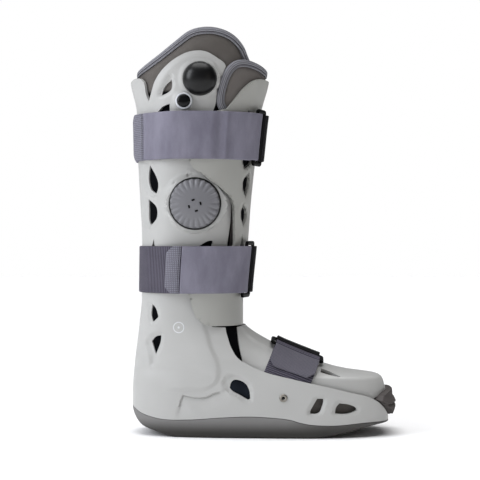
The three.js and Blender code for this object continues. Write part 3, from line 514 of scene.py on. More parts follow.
def flat_pattern(form, outline, holes, spacing, rim=1.5, lines=()):
    """Triangles that fill an outline in the unrolled side view, with the holes left open."""
    def laid(ring):
        return form.flat(form.u_at(ring[:, 0], ring[:, 1]), ring[:, 1])

    rings = [even(laid(even(ring, rim / 2)), rim) for ring in [outline, *holes]]
    creases = [even(laid(line), rim, closed=False) for line in lines]
    low, high = rings[0].min(axis=0), rings[0].max(axis=0)
    columns = np.arange(low[0], high[0], spacing)
    rows = np.arange(low[1], high[1], spacing * 0.866)
    grid = np.array([(x + (i % 2) * spacing / 2, z) for i, z in enumerate(rows) for x in columns])
    keep = inside(grid, rings[0])
    for ring in rings[1:]:
        keep &= ~inside(grid, ring)
    grid = grid[keep]
    clear = spacing * 0.55
    for ring in rings:
        grid = grid[distance(grid, ring, closed=True) > clear]
    for line in creases:
        grid = grid[distance(grid, line) > clear]
    points, edges = [], []
    for ring in rings:
        first = len(points)
        points.extend(ring)
        edges.extend((first + i, first + (i + 1) % len(ring)) for i in range(len(ring)))
    for line in creases:
        first = len(points)
        points.extend(line)
        edges.extend((first + i, first + i + 1) for i in range(len(line) - 1))
    points.extend(grid)
    found, _, faces, *_ = delaunay_2d_cdt([Vector(p) for p in points], edges, [], 0, 1e-5)
    found = np.array([(p.x, p.y) for p in found])
    faces = np.array(faces)
    middles = found[faces].mean(axis=1)
    keep = inside(middles, rings[0])
    for ring in rings[1:]:
        keep &= ~inside(middles, ring)
    return found, faces[keep]


def shell_mesh(form, outline, holes=(), spacing=3.0, wall=shell_wall, relief=None, lines=(),
               inner=None, rim=1.5):
    """A wall that follows the form on both sides of the boot inside an outline of the side view.

    relief and inner give, for x, z and the side, how far the outer face stands out and how far the
    inner face lies behind it."""
    flat, faces = flat_pattern(form, outline, holes, spacing, rim, lines)
    used = np.unique(faces)
    place = np.full(len(flat), -1)
    place[used] = np.arange(len(used))
    flat, faces = flat[used], place[faces]
    u, z = form.unflat(flat)
    outer, back, turned = [], [], []
    for side in (-1, 1):
        points = form.point(u, z, side)
        out = form.normal(u, z, side)
        view = points[:, [0, 2]]
        rise = relief(view, side) if relief else np.zeros(len(view))
        depth = inner(view, side) if inner else np.full(len(view), wall)
        outer.append(points + out * rise[:, None])
        back.append(points + out * (rise - depth)[:, None])
        turned.append(faces if side < 0 else faces[:, ::-1])
    count = len(flat)
    outer, back = np.concatenate(outer), np.concatenate(back)
    faces = np.concatenate([turned[0], turned[1] + count])
    on_seam = (u < 1e-6) | (u > 1 - 1e-6)
    twin = np.arange(2 * count)
    seam = np.nonzero(on_seam)[0]
    twin[count + seam] = seam
    for layer in (outer, back):
        layer[seam] = (layer[seam] + layer[count + seam]) / 2
        layer[seam, 1] = 0
    faces = twin[faces]
    edges = {}
    for a, b, c in faces:
        for edge in ((a, b), (b, c), (c, a)):
            edges[edge] = edges.get(edge, 0) + 1
    rims = [(a, b) for a, b in edges if (b, a) not in edges]
    total = 2 * count
    walls = [(b, a, a + total, b + total) for a, b in rims]
    all_faces = [tuple(f) for f in faces] + [tuple(f[::-1] + total) for f in faces] + walls
    points = np.concatenate([outer, back])
    uv = np.tile(flat, (4, 1))
    mesh = plain_mesh(points, all_faces, uv)
    outside = mesh.attributes.new("outside", "FLOAT", "POINT")
    outside.data.foreach_set("value", np.repeat([1.0, 0.0], total).astype(np.float32))
    return settled(mesh)


def round_rims(item, width, angle=50.0, segments=2):
    """Rounds the edges of a wall."""
    bevel = item.modifiers.new("rounded rims", "BEVEL")
    bevel.width = width * mm
    bevel.segments = segments
    bevel.limit_method = "ANGLE"
    bevel.angle_limit = math.radians(angle)
    bevel.harden_normals = False
    weighted = item.modifiers.new("even shading", "WEIGHTED_NORMAL")
    weighted.keep_sharp = True


def finished(item, material, slot, body, *nodes):
    item.data.materials.clear()
    item.data.materials.append(material)
    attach(item, body)
    if nodes:
        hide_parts(*nodes)
    return item


joint_line = sized([
    (-0.3, 0.086), (-0.255, 0.082), (-0.208, 0.063), (-0.17, 0.055), (-0.132, 0.05), (-0.03, 0.05),
    (0.097, 0.057), (0.21, 0.0605), (0.305, 0.057), (0.362, 0.052), (0.4, 0.044), (0.45, 0.038),
    (0.514, 0.036), (0.667, 0.042), (0.8, 0.039),
])
sole_underside = sized([
    (0.8, 0.0345), (0.697, 0.0325), (0.628, 0.0235), (0.552, 0.011), (0.5, 0.004), (0.45, 0),
    (-0.075, 0), (-0.105, 0.004), (-0.145, 0.012), (-0.204, 0.024), (-0.222, 0.031), (-0.24, 0.047),
    (-0.25, 0.075), (-0.3, 0.079),
])


def joint_height(x):
    line = curved(joint_line)
    return np.interp(x, line[:, 0], line[:, 1])


def underside_height(x):
    line = curved(sole_underside[::-1])
    return np.maximum(np.interp(x, line[:, 0], line[:, 1]), 0)


# The sole's wall as shares of its height, and how far in from the plan it stands there; then how far
# in the rows of its underside lie.
wall_rows = (
    (1.0, 3.2), (1.0, 1.0), (0.985, 0.3), (0.95, 0), (0.8, 0), (0.66, 0), (0.57, 0.1),
    (0.45, 0.35), (0.3, 0.9), (0.16, 1.7), (0.07, 2.6), (0.0, 4.2),
)
under_rows = (8.0, 16.0, 28.0, 42.0)
sole_plan_height, sole_end_radius = 18.0, 40


def sole_mesh():
    """Rows of points round the plan, from the top edge down the wall and under to the middle."""
    plan = plan_round(shell_form, sole_plan_height, 200)
    heel_x, toe_x = plan[:, 0].min(), plan[:, 0].max()
    centre_x = np.clip(plan[:, 0], heel_x + sole_end_radius, toe_x - sole_end_radius)
    inward = np.stack([centre_x - plan[:, 0], -plan[:, 1]], axis=1)
    inward /= np.maximum(np.linalg.norm(inward, axis=1), 1e-6)[:, None]
    top, low = joint_height(plan[:, 0]), underside_height(plan[:, 0])
    rows = []
    for share, inset in wall_rows:
        rows.append(np.column_stack([plan + inward * inset, low + (top - low) * share]))
    for inset in under_rows:
        reach = np.minimum(inset, np.abs(plan[:, 1]) + 6)
        place = plan + inward * reach[:, None]
        place[:, 1] = np.where(np.sign(place[:, 1]) == np.sign(plan[:, 1]), place[:, 1], 0)
        rows.append(np.column_stack([place, underside_height(place[:, 0])]))
    points = np.concatenate(rows)
    mesh = plain_mesh(points, plate_faces(len(rows), len(plan)), points[:, [0, 2]])
    return settled(mesh, weld=0.02, sliver=0.01)


def surface(name, colour, roughness, ior=1.5, **settings):
    """A material with its node tree and its shader; settings are more of the shader's values."""
    material = bpy.data.materials.new(name)
    material.use_nodes = True
    shader = material.node_tree.nodes["Principled BSDF"]
    shader.inputs["Base Color"].default_value = linear(colour)
    shader.inputs["Roughness"].default_value = roughness
    shader.inputs["IOR"].default_value = ior
    for key, value in settings.items():
        shader.inputs[key.replace("_", " ")].default_value = value
    return material, material.node_tree, shader


def object_place(tree):
    """Where a point is in the object's own metres."""
    return add_node(tree, "ShaderNodeTexCoord").outputs["Object"]


def surface_place(tree):
    """How far along (X) and across (Y) the cloth a point is, in metres of its unrolled surface."""
    uv = add_node(tree, "ShaderNodeUVMap", uv_map="surface").outputs["UV"]
    return add_node(tree, "ShaderNodeSeparateXYZ", {"Vector": uv}).outputs


def two_tone(tree, shader, factor, dark, light):
    """Gives the shader a colour between two."""
    tree.links.new(colour_mix(tree, factor, dark, light), shader.inputs["Base Color"])


def uneven_gloss(tree, shader, source, low, high):
    """Gives the shader a roughness between two values."""
    node = add_node(tree, "ShaderNodeMapRange", {"Value": source}, To_Min=low, To_Max=high)
    tree.links.new(node.outputs["Result"], shader.inputs["Roughness"])


def ramp(tree, source, low, high):
    """The source stretched so that low gives 0 and high gives 1."""
    node = add_node(tree, "ShaderNodeMapRange", {"Value": source}, interpolation_type="SMOOTHSTEP",
                    From_Min=low, From_Max=high)
    return node.outputs["Result"]


def calc(tree, operation, first, second=None):
    """One operation on one or two values; each is a number or a socket."""
    node = add_node(tree, "ShaderNodeMath", operation=operation)
    for socket, value in zip(node.inputs, (first, second)):
        if value is None:
            continue
        if isinstance(value, (int, float)):
            socket.default_value = value
        else:
            tree.links.new(value, socket)
    return node.outputs[0]


def weighed(tree, first, first_weight, second, second_weight):
    """Two values, each times its weight, added up."""
    return calc(tree, "ADD", calc(tree, "MULTIPLY", first, first_weight),
                calc(tree, "MULTIPLY", second, second_weight))


def waves(tree, source, pitch_mm, stretch=1.0):
    """A sine wave along a length in metres, one wave to each pitch."""
    turns = 2 * math.pi / (pitch_mm * mm)
    return calc(tree, "SINE", calc(tree, "MULTIPLY", source, turns * stretch))


def noise(tree, coordinates, size_mm, detail=3.0, rough=0.55, stretch=None):
    """A noise whose patches are about so many millimetres across."""
    source = coordinates
    if stretch:
        source = add_node(tree, "ShaderNodeMapping", {"Vector": coordinates}, Scale=stretch).outputs[0]
    node = add_node(tree, "ShaderNodeTexNoise", {"Vector": source}, Detail=detail, Roughness=rough)
    node.inputs["Scale"].default_value = 1 / (size_mm * mm)
    return node.outputs["Fac"]


def bump(tree, shader, height, distance_mm, strength=1.0):
    node = add_node(tree, "ShaderNodeBump", {"Height": height}, Strength=strength, Distance=distance_mm * mm)
    tree.links.new(node.outputs["Normal"], shader.inputs["Normal"])


# Moulded SBR rubber: matt, a little dusty, with fine mould grain; painted shade darkens its lower part and
# toe.
sole_rubber, tree, shader = surface("moulded_sole_rubber", "8a8988", 0.75, 1.52)
place = object_place(tree)
split = add_node(tree, "ShaderNodeSeparateXYZ", {"Vector": place})
# Painted shade: the rubber is painted light only above its lower curve, and darker towards the toe.
band = ramp(tree, split.outputs["Z"], 4.0 * mm, 21.5 * mm)
toe_shade = calc(tree, "MULTIPLY", ramp(tree, split.outputs["X"], 90 * mm, 150 * mm), 0.6)
lit_band = calc(tree, "MULTIPLY", band, calc(tree, "SUBTRACT", 1.0, toe_shade))
dust = noise(tree, place, 9.0, 5.0)
dark = colour_mix(tree, dust, "262421", "302e2b")
light = colour_mix(tree, dust, "706f6e", "7a7978")
two_tone(tree, shader, lit_band, dark, light)
bump(tree, shader, noise(tree, place, 0.8, 2.0), 0.06)
uneven_gloss(tree, shader, dust, 0.62, 0.85)

sole = add_object("sole_tread", sole_mesh())
finished(sole, sole_rubber, "sole_rubber", "boot", "rocker_sole")
round_rims(sole, 0.5)

# Base shell
# The foot tray, rear column, ears and flared back lip are one injection moulding in grey
# polypropylene, 3 mm thick, with windows that let air through and seats for pump, valve and dial.
tray_edge = sized([
    (0.117, 0.306), (0.119, 0.295), (0.126, 0.278), (0.134, 0.259), (0.145, 0.242), (0.157, 0.228),
    (0.172, 0.217), (0.199, 0.206), (0.248, 0.189), (0.381, 0.163), (0.514, 0.141), (0.59, 0.127),
    (0.669, 0.111), (0.696, 0.1), (0.729, 0.076), (0.752, 0.046), (0.8, 0.042),
])
ear_and_lip = sized([
    (-0.3, 0.999), (-0.258, 0.999), (-0.235, 1.004), (-0.214, 1.002), (-0.201, 0.994), (-0.185, 0.95),
    (-0.175, 0.936), (-0.168, 0.955), (-0.152, 0.99), (-0.116, 1.026), (-0.07, 1.052), (-0.017, 1.069),
    (0.04, 1.07), (0.089, 1.051), (0.112, 1.04),
])
column_front_edge = sized([
    (0.119, 1.03), (0.098, 0.992), (0.089, 0.97), (0.083, 0.948), (0.08, 0.926), (0.068, 0.9),
    (0.055, 0.86), (0.07, 0.8), (0.1, 0.74), (0.125, 0.7), (0.139, 0.655), (0.138, 0.633),
    (0.136, 0.605), (0.131, 0.577), (0.123, 0.533), (0.12, 0.48), (0.11, 0.4), (0.065, 0.345),
    (0.065, 0.308),
])
base_outline = np.concatenate([
    curved(joint_line) + (0, clearance), curved(tray_edge)[::-1], curved(column_front_edge)[::-1],
    curved(ear_and_lip)[::-1],
])
column_windows = [
    [(148.5, 165), (147.5, 171), (148, 185), (150, 190), (155, 194), (156.5, 190), (157, 183), (155.5, 178)],
    [(147, 199), (155.5, 208), (156.2, 213), (155.5, 218), (149.5, 225.5), (148.3, 223), (147.3, 210)],
    [(151, 304), (154.5, 308), (157.5, 317), (152, 322), (150, 315)],
    [(150.5, 341), (155, 336.5), (160.5, 335.5), (160, 341), (158, 347), (154.8, 354.5), (152.5, 347)],
    [(171, 79.4), (171.4, 86), (170.6, 89.4), (166.7, 92.8), (160.6, 95.6), (161.4, 92), (164, 86.5)],
]
hidden_windows = [sized(ring) for ring in (
    [(-0.094, 0.926), (-0.093, 0.85), (-0.1, 0.8), (-0.133, 0.769), (-0.136, 0.908), (-0.121, 0.919)],
    [(-0.157, 0.553), (-0.151, 0.5), (-0.151, 0.402), (-0.158, 0.402), (-0.17, 0.522)],
    [(0.017, 0.533), (0.062, 0.548), (0.07, 0.547), (0.055, 0.51), (0.025, 0.5)],
)]
tray_windows = [
    [(229.5, 388), (231, 382.5), (234, 379.9), (238, 380), (243, 382), (246.5, 385), (249, 390),
     (250.2, 399), (248, 400.3), (240, 395.5), (231, 390)],
    [(317.3, 399), (323.5, 399), (323.6, 401.5), (321.9, 407.7), (320, 412.3), (316.9, 414), (310, 414),
     (310.4, 411.5), (313, 406.5)],
    [(339.8, 403.6), (336.4, 407.7), (335.4, 413.8), (343.8, 414.4), (353.8, 412.5), (357.6, 410.6),
     (357.2, 408.8), (353.8, 406.4), (349.2, 404.8)],
]
window_dishes = [
    [(144, 160), (149, 160), (156, 172), (159.5, 184), (159, 192), (155.5, 198), (150, 196), (145, 188)],
    [(144, 198), (149, 194.5), (157, 204), (159, 213), (158, 220), (149.5, 229.5), (145.5, 226)],
    [(147, 301), (152, 300), (157, 305), (160, 316), (157, 321), (152, 325.5), (148, 325)],
    [(146, 340), (150, 335), (160, 331), (163, 333), (163, 341), (160, 352), (154.5, 366), (150, 367),
     (149, 355)],
    [(172, 73), (174, 80), (173.5, 88), (170, 94), (158, 98.5), (157.5, 94), (162, 85), (168, 75)],
    [(222, 384), (225, 376), (229, 374.8), (243, 377.5), (250, 382), (252.8, 391), (253, 402), (247, 403.5),
     (236, 397), (225, 390)],
    [(315, 396.8), (325, 396.3), (326.5, 401), (324.5, 409), (322, 414.5), (316.5, 416.5), (307, 416.5),
     (307, 411), (311, 404)],
    [(185.5, 175), (188, 172.5), (191.5, 173), (192, 177), (188, 178.5)],
    [(337, 400.5), (343, 401), (352, 403), (359, 406.5), (361, 411), (358, 413.7), (346, 416.5),
     (333.5, 416.5), (332, 412), (334, 406)],
]
windows = [curved(on_form(ring, shell_form), closed=True, step=1.2) for ring in column_windows + tray_windows]
dishes = [curved(on_form(ring, shell_form), closed=True, step=1.5) for ring in window_dishes]
windows += [curved(ring, closed=True, step=1.5) for ring in hidden_windows]

bulb_radius, valve_radius, dial_radius, gasket_lip = 18.0, 9.0, 26.0, 1.7
bulb_centre, valve_centre, dial_centre = (5.7, 379.6), (-10.9, 355.8), (0.6, 248.2)
boss_rise = 0.6


def seat_depth(centre, radius):
    """How far out the flat seat round a centre stands, clear of the shell's widest line."""
    x, z = centre
    return max(shell_form.width(x, z + radius)[0], shell_form.width(x, z)[0]) + boss_rise


gasket_radius = dial_radius + gasket_lip
seats = [
    (centre, radius + border, seat_depth(centre, radius))
    for centre, radius, border in (
        (bulb_centre, bulb_radius, 1.6), (valve_centre, valve_radius, 0.8), (dial_centre, gasket_radius, 0.8),
    )
]

# Lines that the shell's side shows: the ankle's bulge ends in a soft step, a crease runs under it, and
# a low bead runs along the ear's edge.
ankle_step = curved(on_form([
    (196, 300), (200, 312), (203, 323), (206.5, 332), (210, 345), (215, 357), (218, 365), (218.5, 372),
    (217, 380), (213, 385), (205, 389), (195, 390), (186, 389.5),
], shell_form))
heel_crease = curved(on_form([
    (179.5, 406), (181, 400.5), (183, 396), (190, 397.5), (200, 398.5), (207, 397.5), (213, 394.5),
    (218, 393),
], shell_form))
ear_rim = curved(on_form([
    (150, 108), (152, 97), (158, 86), (166, 74), (176, 64), (186, 58), (198, 54.5), (210, 56.5), (220, 62),
], shell_form))

# How far each of them stands out or in, and between which distances from it that fades, in mm.
step_rise, step_fade, step_top_fade, step_width = 1.8, (2, 34), (112, 130), 3.2
crease_depth, crease_fade, crease_width = 1.7, (1, 16), 1.0
groove_depth, groove_width, groove_lines = 1.6, 0.8, (-2.2, -1.1, 1.1, 2.2)
bead_rise, bead_fade = 0.5, (0.5, 4)
dish_depth, dish_slope = 2.0, 1.9
collar_rise, collar_away, collar_width = 1.3, 4.2, 1.5
collar_middle, collar_ends = 2.3, (0.1, 0.6)
seat_edge, seat_fade = 2.5, 3


def beside(line, away):
    """A line moved to its left as it runs."""
    run = np.gradient(line, axis=0)
    run /= np.linalg.norm(run, axis=1)[:, None]
    return line + np.stack([-run[:, 1], run[:, 0]], axis=1) * away


def beyond(view, line, width):
    """From 0 on a line's left side, as it runs, to 1 at its right, over a width."""
    away, side = nearest(view, line)
    return eased(side * away, -width / 2, width / 2), away


def base_relief(view, side):
    """Steps, grooves and dished window edges; on the near side also the flat seats and the dial's collar."""
    rise = np.zeros(len(view))
    outer_side, away = beyond(view, ankle_step, step_width)
    rise += step_rise * outer_side * (1 - eased(away, *step_fade)) * (1 - eased(view[:, 1], *step_top_fade))
    below, away = beyond(view, heel_crease, crease_width)
    rise -= crease_depth * below * (1 - eased(away, *crease_fade))
    rise -= groove_depth * np.exp(-(away / groove_width) ** 2)
    rise += bead_rise * (1 - eased(distance(view, ear_rim), *bead_fade))
    for dish in dishes:
        within = inside(view, dish)
        away = np.where(within, distance(view, dish, closed=True), 0)
        rise -= dish_depth * eased(away, 0, dish_slope)
    if side < 0:
        (x, z), radius, depth = seats[2]
        turn = np.arctan2(view[:, 1] - z, view[:, 0] - x)
        away = np.hypot(view[:, 0] - x, view[:, 1] - z)
        collar = np.exp(-((away - radius - collar_away) / collar_width) ** 2)
        rise += collar_rise * collar * eased(np.cos(turn - collar_middle), *collar_ends)
        for (x, z), radius, depth in seats:
            away = np.hypot(view[:, 0] - x, view[:, 1] - z)
            lift = depth - shell_form.width(view[:, 0], view[:, 1])
            rise = rise * eased(away, radius, radius + seat_fade)
            rise += lift * (1 - eased(away, radius, radius + seat_edge))
    return rise


def moulded_plastic(name, light, dark, roughness=0.42, **settings):
    """Injection-moulded plastic: satin, with a fine spark-eroded grain and faint handling marks.

    The grain is drawn 0.7 mm across, coarser than it is, so that it shows."""
    material, tree, shader = surface(name, light, roughness, 1.49, **settings)
    place = object_place(tree)
    two_tone(tree, shader, noise(tree, place, 45.0, 3.0), dark, light)
    bump(tree, shader, noise(tree, place, 0.7, 2.0), 0.03)
    uneven_gloss(tree, shader, noise(tree, place, 12.0, 6.0), roughness - 0.08, roughness + 0.1)
    return material


# Grey polypropylene: a soft, even sheen that shows each step and dish by its shading.
shell_plastic = moulded_plastic("moulded_grey_polypropylene", "b0b0ae", "a8a8a6")
crease_lines = [np.concatenate([ring, ring[:1]]) for ring in dishes] + [heel_crease]
crease_lines += [beside(even(heel_crease, 1.5, closed=False), away) for away in groove_lines]
base_shell = add_object("foot_tray_and_column", shell_mesh(
    shell_form, base_outline, windows, spacing=2.6, relief=base_relief,
    lines=crease_lines,
))
finished(base_shell, shell_plastic, "shell_plastic", "boot", "base_shell")
round_rims(base_shell, 0.8)

# Front shell
# A second moulding round the shin, of the same plastic, with slots that let air through. Its colour is
# painted a little darker and warmer, as shade. It lies outside the column, and the leg straps hold it
# there by its two wings.
front_level = clearance + 2 * shell_wall + 0.2
front_top = sized([
    (0.33, 1.002), (0.285, 1.002), (0.249, 1.0005), (0.227, 0.994), (0.2, 0.978), (0.18, 0.963),
    (0.163, 0.947), (0.125, 0.912),
])
upper_wing = sized([
    (0.06, 0.9), (0, 0.885), (-0.035, 0.866), (-0.05, 0.84), (-0.045, 0.8), (-0.018, 0.769),
    (-0.01, 0.755), (0.005, 0.742), (0.032, 0.731), (0.057, 0.715), (0.09, 0.699), (0.115, 0.683),
    (0.134, 0.67), (0.143, 0.659), (0.149, 0.643), (0.151, 0.619), (0.152, 0.576), (0.152, 0.534),
])
lower_wing = sized([
    (0.1, 0.515), (0.04, 0.5), (-0.02, 0.485), (-0.04, 0.46), (-0.035, 0.43), (-0.022, 0.398),
    (-0.016, 0.384), (-0.0065, 0.36), (0.001, 0.342), (0.017, 0.328), (0.032, 0.3175), (0.057, 0.3115),
    (0.097, 0.3105), (0.33, 0.3105),
])
window_rim_depth, window_rim_fade = 0.8, (0.3, 3.0)
front_windows = [
    [(248.8, 110.3), (246.6, 115), (245.6, 140), (243.8, 164), (245, 169), (250.5, 165), (251.5, 140),
     (252.3, 115)],
    [(249.8, 174), (244.3, 180), (243.5, 185), (243.8, 190), (246.2, 197), (248.5, 190), (250.2, 180)],
    [(244.5, 205), (242, 210), (241.8, 218), (244.2, 226.5), (247, 218), (247, 210)],
    [(243, 235), (240.3, 250), (239.3, 280), (241.5, 292), (244.6, 280), (245.2, 250)],
]
front_form = Form(front_level, leg_only=True)
front_outline = np.concatenate([curved(front_top), curved(upper_wing), curved(lower_wing)])
shin_windows = [curved(on_form(ring, front_form), closed=True, step=1.2) for ring in front_windows]


def front_relief(view, side):
    """The edge of each slot is dished a little."""
    rise = np.zeros(len(view))
    for ring in shin_windows:
        away = np.where(inside(view, ring), 0, distance(view, ring, closed=True))
        rise -= window_rim_depth * (1 - eased(away, *window_rim_fade))
    return rise


# The same plastic, painted a little darker and warmer as shade: this shell faces away from the cool left
# light.
front_shaded_plastic = moulded_plastic("moulded_warm_grey_polypropylene", "a3a39e", "9a9a96")
front_shell = add_object("shin_shell", shell_mesh(
    front_form, front_outline, shin_windows, relief=front_relief,
))
finished(front_shell, front_shaded_plastic, "front_shell_plastic", "boot", "front_shell")
round_rims(front_shell, 0.8)

# Instep shell
# A thin roof over the foot, moulded in the same plastic, tucked inside the tray and under the foot
# strap. It can flex open for the foot to go in.
webbing_thickness, webbing_room = 1.8, 0.8
instep_level = -(shell_wall + webbing_thickness + webbing_room)
fold_step, fold_fade, fold_groove, fold_groove_width, fold_width = 1.3, (0.5, 14), 0.5, 1.2, 1.2
instep_rear = sized([
    (0.183, 0.195), (0.1807, 0.213), (0.177, 0.227), (0.172, 0.243), (0.1655, 0.28), (0.163, 0.307),
])
instep_top = sized([(0.205, 0.307), (0.34, 0.33), (0.82, 0.26), (0.82, 0.127)])
visor_edge = sized([(0.74, 0.126), (0.721, 0.118), (0.69, 0.1085)])
instep_slit = [(320.8, 368.2), (330, 371.6), (340.2, 376.4), (340.4, 377.2), (329, 374.8), (320.4, 372.2)]
tray_lap = 0.021 * shell_height
skirt = tray_edge[(tray_edge[:, 0] > 0.19 * boot_length) & (tray_edge[:, 0] < 0.68 * boot_length)]
instep_form = Form(instep_level, by_front=True)
instep_outline = np.concatenate([
    curved(instep_rear), instep_top, curved(visor_edge), curved(skirt)[::-1] - (0, tray_lap),
])
slit = curved(on_form(instep_slit, instep_form), closed=True, step=1.0)
instep_fold = curved(on_form([
    (238.5, 324), (243, 330), (250, 337.5), (260, 344.5), (268, 349), (276, 352),
], instep_form))


def instep_relief(view, side):
    """A sharp moulded line near the top of the instep, where the roof is thickened."""
    above, away = beyond(view, instep_fold, fold_width)
    step = fold_step * above * (1 - eased(away, *fold_fade))
    return -step - fold_groove * (1 - eased(away, 0, fold_groove_width))


instep_shell = add_object("instep_roof", shell_mesh(
    instep_form, instep_outline, [slit], spacing=2.6, relief=instep_relief,
    lines=[instep_fold],
))
finished(instep_shell, shell_plastic, "shell_plastic", "boot", "instep_shell")
round_rims(instep_shell, 0.7)

# Foot liner and insole
# A bootie of brushed knit laminated on foam, with a flat insole, lines the tray. Hook and loop holds it
# to the floor, and it shows through the windows.
pad_gap, foot_pad, calf_pad = 0.48, 5.6, 7.0
heel_pad_level = -(shell_wall + pad_gap)
instep_pad_level = instep_level - shell_wall - pad_gap
heel_split = 0.154 * boot_length
heel_blend = (heel_split - 6, heel_split + 8)
foot_liner_roof = 0.3085 * shell_height
floor_gap = 2 * clearance + shell_wall


def knit_cloth(name, light, dark, wale=1.3, fuzz=0.35, cell_shade_top=0.0):
    """Brushed warp-knit laminated on foam: rows of fine loops that the eye sees as a soft weave.

    The wales are drawn wider than they are, so that they show. Below the cell top the outside of the pad is
    the dark film of its air cells with painted shade on it: near black up the leg, where the windows lie in
    deep shade, and paler at the foot. The film ends at the middle of the foot."""
    material, tree, shader = surface(name, light, 0.92, 1.45, Specular_IOR_Level=0.06)
    cloth = surface_place(tree)
    loops = calc(tree, "MULTIPLY", waves(tree, cloth["X"], wale), waves(tree, cloth["Y"], wale, 1.15))
    place = object_place(tree)
    fibres = noise(tree, place, fuzz, 4.0, 0.7)
    patches = noise(tree, place, 22.0, 3.0)
    height = calc(tree, "ADD", calc(tree, "MULTIPLY", loops, 0.35), fibres)
    tone = weighed(tree, ramp(tree, height, 0.2, 0.85), 0.55, patches, 0.45)
    cloth_colour = colour_mix(tree, tone, dark, light)
    if cell_shade_top:
        outside = add_node(tree, "ShaderNodeAttribute", attribute_name="outside").outputs["Fac"]
        split = add_node(tree, "ShaderNodeSeparateXYZ", {"Vector": place}).outputs
        low = calc(tree, "SUBTRACT", 1.0, ramp(tree, split["Z"], cell_shade_top, cell_shade_top + 4 * mm))
        behind = calc(tree, "SUBTRACT", 1.0, ramp(tree, split["X"], 85 * mm, 100 * mm))
        low = calc(tree, "MULTIPLY", low, behind)
        # The air cells' dark film, painted near black up the leg as the deep shade inside the windows; paler
        # at the foot.
        foot_film = colour_mix(tree, patches, "1c2027", "31363f")
        leg_film_in_shade = colour_mix(tree, patches, "030305", "0a0b0f")
        film = colour_mix(tree, ramp(tree, split["Z"], 50 * mm, 75 * mm), foot_film, leg_film_in_shade)
        cloth_colour = colour_mix(tree, calc(tree, "MULTIPLY", outside, low), cloth_colour, film)
    tree.links.new(cloth_colour, shader.inputs["Base Color"])
    bump(tree, shader, height, 0.35, 0.8)
    return material


# Below this height the liner's outside is the dark air-cell film, painted near black as the shade in the
# windows.
cell_shade_film_top = 0.366
liner_cloth = knit_cloth("brushed_knit_on_foam", "726e6b", "4b4743", cell_shade_top=cell_shade_film_top)
foot_form = Form(heel_pad_level, by_front=True)
beyond_toe, beyond_heel = 260, -90
foot_outline = np.concatenate([
    curved(joint_line) + (0, floor_gap), [(beyond_toe, foot_liner_roof), (beyond_heel, foot_liner_roof)],
])


def foot_relief(view, side):
    """The bootie stands at the column's level at the heel, and at the instep shell's ahead of it."""
    return (instep_pad_level - heel_pad_level) * eased(view[:, 0], *heel_blend)


foot_liner = add_object("foot_bootie", shell_mesh(
    foot_form, foot_outline, spacing=5.0, rim=4.0, relief=foot_relief,
    inner=lambda view, side: np.full(len(view), foot_pad),
))
finished(foot_liner, liner_cloth, "liner_cloth", "boot", "foot_liner")


# How far in from the insole's plan its edge stands, at shares of its thickness.
insole_rows = ((1.6, 0), (0, 0.4), (0, 0.75), (1.2, 1.0), (6, 1.05))
insole_plan_height, insole_lap, insole_lift = 34.0, 0.4, 0.2
insole_middle, insole_end_half = 60, 12


def insole_mesh(thickness):
    """A plate inside the bootie: its plan comes from the form, its face follows the shell's floor."""
    plan = plan_round(Form(instep_pad_level - foot_pad + insole_lap), insole_plan_height, 120)
    at_ends = np.abs(plan[:, 1]) < insole_end_half
    rows = []
    for inset, lift in insole_rows:
        along = plan[:, 0] + np.where(plan[:, 0] > insole_middle, -inset, inset) * at_ends
        across = np.sign(plan[:, 1]) * np.maximum(np.abs(plan[:, 1]) - inset, 0)
        height = joint_height(along) + floor_gap + insole_lift + thickness * lift
        rows.append(np.column_stack([along, across, height]))
    points = np.concatenate(rows)
    mesh = plain_mesh(points, plate_faces(len(rows), len(plan)), points[:, :2])
    return settled(mesh, weld=0.02)


insole = add_object("insole", insole_mesh(foot_pad))
finished(insole, liner_cloth, "liner_cloth", "boot")

# Calf liner
# A padded sleeve of the same knit on foam, cut low at the back and high at the side. A woven tape is
# folded over its edge and sewn through.
liner_top = sized([
    (-0.31, 1.02), (-0.233, 1.032), (-0.154, 1.062), (-0.075, 1.103), (-0.017, 1.132), (0.04, 1.141),
    (0.096, 1.138), (0.153, 1.121), (0.191, 1.091), (0.212, 1.055), (0.235, 1.03), (0.33, 1.02),
])
tape_width, tape_hem = 8.0, 1.2
calf_swell, calf_swell_reach, seam_pinch, seam_reach = 0.9, 24, 1.6, 7
calf_inner_swell, calf_inner_pinch = 1.2, 3.0
liner_edge = curved(liner_top)
calf_form = Form(heel_pad_level, leg_only=True, back_limit=-0.244 * boot_length)
liner_foot = foot_liner_roof + clearance
seam_line = beside(liner_edge, -(tape_width - tape_hem))
calf_outline = np.concatenate([
    seam_line, [(0.33 * boot_length, liner_foot), (-0.31 * boot_length, liner_foot)],
])


def swollen(away, swell, swell_reach, pinch, pinch_reach):
    """A pad's rise so far from its seam: pinched at the seam, and swollen a little beyond it."""
    arch = np.sin(np.clip(away / swell_reach, 0, 1) * math.pi)
    return swell * arch - pinch * (1 - eased(away, 0, pinch_reach))


def calf_relief(view, side):
    return swollen(distance(view, seam_line), calf_swell, calf_swell_reach, seam_pinch, seam_reach)


def calf_depth(view, side):
    away = distance(view, seam_line)
    return calf_pad + swollen(away, calf_inner_swell, calf_swell_reach, calf_inner_pinch, seam_reach)


calf_liner = add_object("calf_sleeve", shell_mesh(
    calf_form, calf_outline, spacing=4.0, rim=2.5, relief=calf_relief, inner=calf_depth,
))
finished(calf_liner, liner_cloth, "liner_cloth", "boot", "calf_liner")


# A tape ends where its edge line runs past the back or front of the leg. Points of its path nearer
# than the least step are left out, and ends nearer than the joining gap are joined to a ring.
leg_rear, leg_fore = -89, 95
least_step, joining_gap, tape_step = 0.4, 6, 2.0


